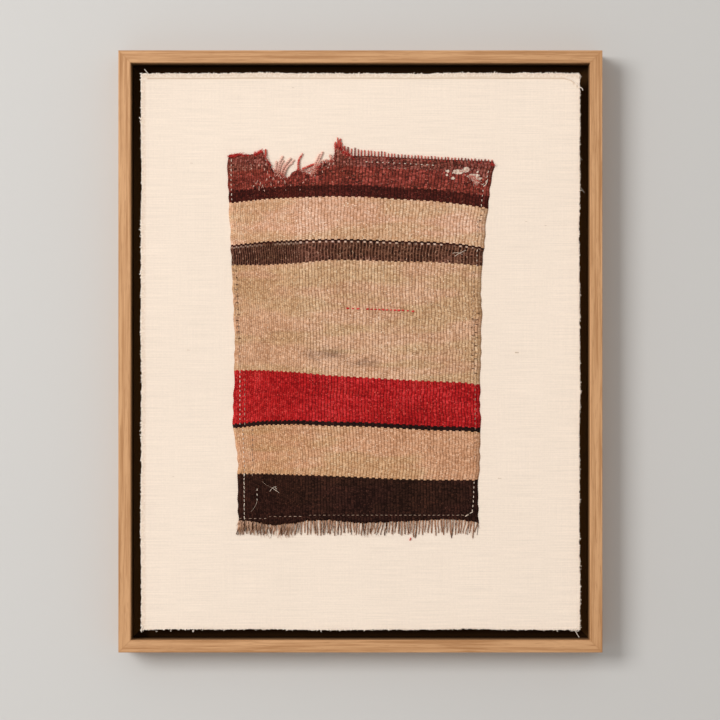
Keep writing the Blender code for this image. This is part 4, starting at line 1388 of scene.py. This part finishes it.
def tuft_strands(tufts, seed):
    """Short fibres of unspun weft along each tuft's stretch of the rim."""
    chance = random.Random(seed)
    strands = []
    for tuft in tufts:
        for _ in range(tuft.count):
            share = chance.random()
            across = tuft.start[0] + (tuft.end[0] - tuft.start[0]) * share + chance.uniform(-0.6, 0.6)
            up = tuft.start[1] + (tuft.end[1] - tuft.start[1]) * share + chance.uniform(-1.3, 0.5)
            lean = tuft.lean * chance.uniform(0.2, 1.0) + chance.uniform(-0.8, 0.8)
            rise = tuft.rise * chance.uniform(0.2, 1.1) + chance.uniform(-0.5, 0.5)
            bow = chance.uniform(-0.5, 0.5)
            depth = KILIM_FRONT + chance.uniform(-0.9, 0.35) * MM
            spots = [
                (across, up, depth),
                (across + lean * 0.5 - bow, up + rise * 0.5 + bow, depth + 0.2 * MM),
                (across + lean, up + rise, depth - 0.1 * MM),
            ]
            strands.append(strand(spots, chance.uniform(0.12, 0.24), 0.5, chance.random()))
    return strands


def seam_strands(seams):
    """The lines of seams, a little below the crests of the ribs, so that their stitches rise from them."""
    depth = KILIM_FRONT - SEAM_SINK
    return [strand([(*spot, depth) for spot in seam], 1.0, 1.0, 0.0, cuts=0) for seam in seams]


# Canvas

# The line pressed into the canvas near its upper edge
CREASE = [(-177.2, 227.4), (32.9, 227.6), (170.7, 227.4), (174.8, 226.2), (179.0, 223.3), (182.3, 219.5)]

# Loose threads of the canvas, with their radius in millimetres
CANVAS_THREADS = [
    Loose([(-175.6, 230.2), (-177.6, 232.4), (-180.0, 235.2)], 0.42, 0.0),
    Loose([(-182.2, 231.0), (-183.6, 232.2), (-181.6, 228.6), (-181.6, 224.6)], 0.42, 0.0),
    Loose(
        [(170.7, 228.2), (175.2, 226.9), (179.4, 224.0), (182.6, 220.4), (184.9, 219.2), (185.3, 217.4)],
        0.50,
        0.0,
    ),
    Loose([(181.8, 231.2), (184.4, 228.6)], 0.30, 0.3),
    Loose([(-181.0, -228.6), (-182.4, -231.4), (-182.2, -234.0)], 0.55, 0.2),
    Loose([(-183.0, -226.6), (-181.6, -229.4), (-180.4, -232.0)], 0.45, 0.1),
    Loose([(177.6, -230.6), (178.9, -232.6), (182.2, -238.2)], 0.36, 0.0),
    Loose([(179.2, -230.6), (181.4, -229.2), (182.6, -231.2), (181.0, -233.6), (179.6, -232.4)], 0.45, 0.0),
    Loose([(175.2, -231.4), (176.2, -233.4), (177.2, -232.4)], 0.40, 0.0),
    Loose([(182.6, 137.4), (184.6, 135.0), (186.7, 132.2)], 0.14, 0.0),
    Loose([(182.6, 160.4), (184.2, 161.0), (184.8, 159.4)], 0.14, 0.0),
    Loose([(-158.4, -232.4), (-158.0, -233.6), (-157.6, -232.6)], 0.34, 0.0),
    Loose([(-140.0, -232.4), (-139.4, -234.2), (-138.6, -232.6)], 0.34, 0.0),
    Loose([(-170.4, -232.6), (-169.8, -233.8), (-169.2, -232.8)], 0.30, 0.0),
]

# Slubs in the canvas: places, with each one's size in millimetres
SLUBS = [
    Patch(-143.1, 1.2, 1.2, 0.6), Patch(-155.8, -104.2, 0.8, 0.5), Patch(130.4, -0.9, 1.6, 1.2),
    Patch(116.1, -105.7, 1.4, 0.6), Patch(154.4, 105.0, 1.0, 0.5), Patch(138.3, 108.3, 0.8, 0.5),
    Patch(-140.6, 156.9, 1.1, 0.5), Patch(-56.0, 219.8, 0.9, 0.5),
]


def cloth_lines(size):
    """Places across the canvas: close together at its raw edges and even between."""
    half = size / 2
    margin = [half - EDGE_STEP * step for step in range(EDGE_STEPS)]
    inner = margin[-1] - EDGE_STEP
    count = round(2 * inner / FIELD_STEP)
    field = [-inner + 2 * inner * step / count for step in range(count + 1)]
    return [-place for place in margin] + field + list(reversed(margin))


def cloth_wander(place, phase):
    """How far the raw edge wanders out of straight at a place along it."""
    slow = np.sin(place / SLOW_WANDER_RUN + phase)
    quick = np.sin(place / QUICK_WANDER_RUN + 2 * phase)
    wander = CLOTH_WANDER * (slow + (quick - slow) * QUICK_WANDER_SHARE)
    return wander + RAG * np.sin(place / RAG_RUN + 3 * phase)


def crease_share(x, z):
    """1 on the line pressed into the upper edge of the canvas and 0 a little way off it."""
    nearest = np.full_like(x, 1.0)
    for (x0, z0), (x1, z1) in zip(CREASE, CREASE[1:]):
        run = np.array((x1 - x0, z1 - z0)) * MM
        share = np.clip(((x - x0 * MM) * run[0] + (z - z0 * MM) * run[1]) / run.dot(run), 0, 1)
        off = np.hypot(x - x0 * MM - share * run[0], z - z0 * MM - share * run[1])
        nearest = np.minimum(nearest, off)
    return np.clip(1 - nearest / CREASE_HALF_WIDTH, 0, 1)


def canvas_front():
    """The canvas's front, rolling a little, pressed at its crease and dropping past the board's edge.

    It returns the points about the frame's middle, and their numbers by name.
    """
    columns = np.array(cloth_lines(CLOTH_WIDTH))
    rows = np.array(cloth_lines(CLOTH_HEIGHT))
    x, z = np.meshgrid(columns, rows)
    from_side = CLOTH_WIDTH / 2 - np.abs(x)
    from_end = CLOTH_HEIGHT / 2 - np.abs(z)
    over = np.clip(1 - np.minimum(from_side, from_end) / OVERHANG, 0, 1)
    grip_x = np.clip(1 - from_side / (OVERHANG * 1.6), 0, 1)
    grip_z = np.clip(1 - from_end / (OVERHANG * 1.6), 0, 1)
    fray = np.random.default_rng(5).uniform(-1, 1, x.shape) * FRAY
    crease = crease_share(x, z)
    roll = np.sin(x / ROLL_RUN_ACROSS + 1.3) * np.sin(z / ROLL_RUN_UP) * CLOTH_ROLL
    edge_roll = np.sin((x + z) / EDGE_ROLL_RUN) * over * EDGE_ROLL
    drop = OVERHANG_DROP * over**1.5
    y = -CLOTH_FRONT + roll * (1 - over) - CLOTH_ROLL + drop + crease * CREASE_DEPTH + edge_roll
    y = np.maximum(y, -CLOTH_FRONT)
    at_edge = over > 0.9
    side_x = np.sign(x) * grip_x * (cloth_wander(z, 2 * (x > 0)) + fray * at_edge)
    side_z = np.sign(z) * grip_z * (cloth_wander(x, 2 + 2 * (z > 0)) + fray.T.reshape(x.shape) * at_edge)
    at_top = z > CLOTH_HEIGHT / 2 - OVERHANG
    at_left = x < OVERHANG - CLOTH_WIDTH / 2
    numbers = {
        "front": np.ones_like(x),
        "overhang": np.minimum(1.0, 3.0 * over) * np.maximum(UPPER_EDGE_DARKENING * at_top, LEFT_EDGE_DARKENING * at_left),
        "crease": crease,
        "fray": np.maximum(0.0, 6.0 * over - 5.0),
    }
    return np.stack((x + side_x, y, CENTRE_HEIGHT + z + side_z), axis=-1), numbers


def canvas_sheet():
    """The canvas as a closed sheet, and the points of its raw edge in turn."""
    places, numbers = canvas_front()
    shape, layers = new_sheet(*numbers)
    grid = []
    for row, line_places in enumerate(places):
        line = []
        for column, place in enumerate(line_places):
            vert = shape.verts.new(place)
            for name, values in numbers.items():
                vert[layers[name]] = values[row, column]
            line.append(vert)
        grid.append(line)
    fill_grid(shape, grid)
    close_back(shape, layers["front"])
    back = -CLOTH_FRONT + CLOTH_THICKNESS
    for vert in shape.verts:
        vert.co.y = back if vert[layers["front"]] == 0.0 else min(vert.co.y, back)
    outline = grid[0] + [line[-1] for line in grid[1:]] + grid[-1][-2::-1]
    outline += [line[0] for line in reversed(grid[1:-1])]
    outline = [vert.co.copy() for vert in outline]
    mesh = mesh_from(shape, "backing_canvas")
    mesh.materials.append(canvas())
    for polygon in mesh.polygons:
        polygon.use_smooth = True
    return piece_from("backing_canvas", mesh), outline


def edge_fibre_strands(outline):
    """Short ends of thread that stick out of the canvas's raw edge, with longer curls among them."""
    chance = random.Random("raw edge")
    strands = []
    middle = Vector((0, 0, CENTRE_HEIGHT))
    for start, end in zip(outline, outline[1:] + outline[:1]):
        run = end - start
        outward = Vector((run.z, 0, -run.x)).normalized()
        if outward.dot(start - middle) < 0:
            outward = -outward
        for _ in range(max(1, round(run.length / EDGE_FIBRE_STEP))):
            root = start.lerp(end, chance.random()) - outward * chance.uniform(0.3, 1.4) * MM
            long_end = chance.random() < 0.04
            reach = chance.uniform(1.2, 2.1) if long_end else chance.uniform(0.4, 1.2)
            slide = run.normalized() * chance.uniform(-0.9, 0.9) * MM * (1.6 if long_end else 1.0)
            root.y = -CLOTH_FRONT + chance.uniform(-0.15, 0.75) * MM
            bow = Vector((0, chance.uniform(-0.25, 0.2) * MM, 0))
            bend = root + outward * reach * 0.6 * MM + slide * 0.2 + bow
            points = corner_cut([root, bend, root + outward * reach * MM + slide], 1)
            strands.append(Strand(points, chance.uniform(0.34, 0.54) * MM, 0.6, chance.random()))
    return strands


def slub_strands():
    """Thick places in the canvas's threads, lying along them."""
    strands = []
    for slub in SLUBS:
        spots = []
        for run, rise in ((-1, 0.0), (-0.3, 0.25), (0.3, -0.2), (1, 0.0)):
            across = slub.across + slub.half_width * run
            spots.append((across, slub.up + slub.half_height * rise * 0.5, CLOTH_FRONT + 0.05 * MM))
        strands.append(strand(spots, slub.half_height * 0.45, 0.5, 0.9))
    return strands


# The pieces on the frame


def settle(piece, slot, *nodes):
    """Fixes a piece to the one body and hides the solids that it stands for. The slot is not used."""
    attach(piece, "root")
    if nodes:
        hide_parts(*nodes)
    return piece


def thread_piece(name, strands, finish, slot, *nodes, twist=None, sides=4):
    """A piece of plied strands with a twist length in millimetres, or of plain ones with so many sides."""
    mesh = chains_mesh(name, strands)
    if twist:
        piece = run_tree(name, mesh, PLIED_YARN, twist_length=twist * MM, finish=finish)
    else:
        piece = run_tree(name, mesh, FIBRE, sides=sides, finish=finish)
    return settle(piece, slot, *nodes)


def mitre_glue():
    """The glue between the rails' mitred ends: a thin plate on each end of the crosswise rails."""
    shape = bmesh.new()
    for name in ("rail_top", "rail_bottom"):
        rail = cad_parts[name]
        for polygon in rail.data.polygons:
            normal = rail.matrix_world.to_3x3() @ polygon.normal
            if abs(abs(normal.x) - abs(normal.z)) > 0.01 or abs(normal.x) < 0.6:
                continue
            corners = [rail.matrix_world @ rail.data.vertices[index].co for index in polygon.vertices]
            shape.faces.new([shape.verts.new(corner) for corner in corners])
    bmesh.ops.remove_doubles(shape, verts=shape.verts, dist=0.001 * MM)
    made = bmesh.ops.extrude_face_region(shape, geom=shape.faces[:], use_keep_orig=True)["geom"]
    for vert in made:
        if isinstance(vert, bmesh.types.BMVert):
            away = Vector((1 if vert.co.x > 0 else -1, 0, -1 if vert.co.z > CENTRE_HEIGHT else 1))
            vert.co += away.normalized() * GLUE_WIDTH
    bmesh.ops.recalc_face_normals(shape, faces=shape.faces)
    mesh = mesh_from(shape, "mitre_glue")
    mesh.materials.append(oak("oak at the mitres", False, CROSSWISE_STAIN_AND_SHADE))
    return piece_from("mitre_glue", mesh)


def finish_frame():
    """Oak on the rails, fibreboard on the panel and glue in the mitres."""
    crosswise = oak("oak crosswise", False, CROSSWISE_STAIN_AND_SHADE)
    upright = oak("oak upright", True, UPRIGHT_STAIN_AND_SHADE)
    for name, finish in (
        ("rail_top", crosswise),
        ("rail_bottom", oak("oak of the bottom rail", False, LOWER_STAIN_AND_SHADE)),
        ("rail_left", upright),
        ("rail_right", upright),
        ("mount_board", fibreboard()),
    ):
        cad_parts[name].material_slots[0].material = finish
    settle(mitre_glue(), "oak")


def lay_canvas(yarns):
    """The canvas over the board, with its loose threads."""
    sheet, outline = canvas_sheet()
    settle(sheet, "canvas", "backing_cloth")
    loose = loose_strands(CANVAS_THREADS, CLOTH_FRONT, 0.1, 0.7)
    raw = yarns["canvas thread"]
    with_it = [
        thread_piece("canvas_frayed_edge", edge_fibre_strands(outline), raw, "canvas"),
        thread_piece("canvas_loose_threads", loose, raw, "canvas", twist=2.2),
        thread_piece("canvas_slubs", slub_strands(), yarns["slub"], "canvas", sides=6),
    ]
    return sheet


def kilim_threads(yarns):
    """The fringes, the loose threads and the seams of the kilim."""
    red, stub, torn = yarns["red wool"], yarns["stained warp"], yarns["torn warp"]
    ends = lower_fringe_strands()
    stubs = upper_stub_strands()
    loose = loose_strands(LOOSE_WARPS, KILIM_BACK, 0.95, 0.75, fall=0.45, swell=1.3)
    strays = loose_strands(LOOSE_PALE_THREADS, KILIM_FRONT, 0.15, 0.7)
    threads = [
        thread_piece("fringe_warp_ends", ends, yarns["warp end"], "warp_grey", "fringe_bottom", twist=4.5),
        thread_piece("fringe_fibres", lower_fringe_fibres(), yarns["matted warp"], "warp_grey", sides=3),
        thread_piece("fringe_warp_stubs", stubs, stub, "warp_red", "fringe_top", twist=3.2),
        thread_piece("torn_warps", loose, torn, "warp_red", "torn_threads", twist=3.6),
        thread_piece("red_tufts", tuft_strands(RED_TUFTS, "red"), red, "warp_red"),
        thread_piece("tear_tufts", tuft_strands(TEAR_TUFTS, "tear"), stub, "warp_red"),
        thread_piece("showing_warps", showing_warp_strands(), torn, "wool", sides=5),
        thread_piece("side_stitches", side_stitch_strands(), yarns["dark thread"], "wool", sides=5),
        thread_piece("red_fluff", [strand(RED_FLUFF, 0.55, 0.7, 0.0)], red, "wool", sides=5),
        thread_piece("pale_tufts", tuft_strands(PALE_TUFTS, "pale"), torn, "warp_red"),
    ]
    for name, sewing in SEWING.items():
        piece = run_tree(
            name,
            chains_mesh(name, seam_strands(sewing.seams)),
            RUNNING_STITCH,
            spacing=sewing.spacing * MM,
            stitch_length=sewing.length * MM,
            stitch_rise=STITCH_RISE,
            thread_radius=sewing.radius * MM,
            finish=yarns[sewing.yarn],
        )
        threads.append(settle(piece, "wool"))
    threads.append(thread_piece("stray_threads", strays, yarns["pale thread"], "wool", sides=5))
    return threads


def dress():
    """Everything on the frame. The canvas lies on the board, and the kilim on the canvas."""
    finish_frame()
    yarns = {name: spun_yarn(name, *thread) for name, thread in THREADS.items()}
    sheet = lay_canvas(yarns)
    weave = settle(kilim(), "wool", "kilim")
    max(polygon.area for polygon in weave.data.polygons)
    kilim_threads(yarns)


# The room


def set_camera():
    data = bpy.data.cameras.new("camera")
    data.sensor_width = SENSOR
    data.lens = SENSOR * CAMERA_DISTANCE / VIEW_WIDTH
    camera = bpy.data.objects.new("camera", data)
    camera.location = (VIEW_ASIDE, -FRAME_DEPTH - CAMERA_DISTANCE, CENTRE_HEIGHT - VIEW_DOWN)
    camera.rotation_euler = (math.pi / 2, 0, 0)
    bpy.context.collection.objects.link(camera)
    bpy.context.scene.camera = camera


def set_light(name, place, width, height, power):
    """A rectangle of soft light, parallel to the wall and shining at it."""
    data = bpy.data.lights.new(name, "AREA")
    data.shape = "RECTANGLE"
    data.size = width
    data.size_y = height
    data.energy = power
    light = bpy.data.objects.new(name, data)
    light.location = place
    light.rotation_euler = (math.copysign(math.pi / 2, -place[1]), 0, 0)
    bpy.context.collection.objects.link(light)


def set_fill():
    world = bpy.data.worlds.new("soft fill")
    world.use_nodes = True
    background = world.node_tree.nodes["Background"]
    background.inputs["Color"].default_value = FILL_COLOUR
    background.inputs["Strength"].default_value = FILL_STRENGTH
    bpy.context.scene.world = world


def plane(name, corners, finish):
    mesh = bpy.data.meshes.new(name)
    mesh.from_pydata(corners, [], [range(len(corners))])
    mesh.materials.append(finish)
    obj = piece_from(name, mesh)
    return obj


def room_paint(name, one_sided):
    """Matt paint. The one-sided wall is seen from the front alone, so that the back of the frame shows."""
    material, tree, shader, place = new_material(name, specular=0.1)
    cloudy = tree.scaled(tree.noise(place, 3.0), 0.02, 0.99)
    tree.feed(shader.inputs["Base Color"], tree.tone(ROOM_GREY, cloudy))
    if one_sided:
        behind = tree.node("ShaderNodeNewGeometry").outputs["Backfacing"]
        clear = tree.out("ShaderNodeBsdfTransparent")
        both = tree.out("ShaderNodeMixShader", {0: behind, 1: shader.outputs[0], 2: clear})
        tree.feed(material.node_tree.nodes["Material Output"].inputs[0], both)
    return material


def set_room():
    """A pale wall behind the frame and a pale floor below it. The wall throws no shadow, and only shows."""
    low, high = CENTRE_HEIGHT - FLOOR_DROP, CENTRE_HEIGHT + WALL_RISE
    y, wide = WALL_GAP, WALL_REACH
    wall_corners = [(-wide, y, low), (wide, y, low), (wide, y, high), (-wide, y, high)]
    wall = plane("wall", wall_corners, room_paint("wall paint", True))
    wall.visible_shadow = False
    wall.visible_diffuse = False
    wall.visible_glossy = False
    far = FLOOR_REACH
    floor_corners = [(-far, -far, low), (far, -far, low), (far, far, low), (-far, far, low)]
    plane("floor", floor_corners, room_paint("floor paint", False))


def set_colours():
    view = bpy.context.scene.view_settings
    view.view_transform = "Standard"
    view.look = "None"


dress()
set_camera()
set_light("key", KEY_PLACE, KEY_WIDTH, KEY_HEIGHT, KEY_POWER)
set_light("back", BACK_PLACE, BACK_SIZE, BACK_SIZE, BACK_POWER)
set_fill()
set_room()
set_colours()

bpy.context.view_layer.update()
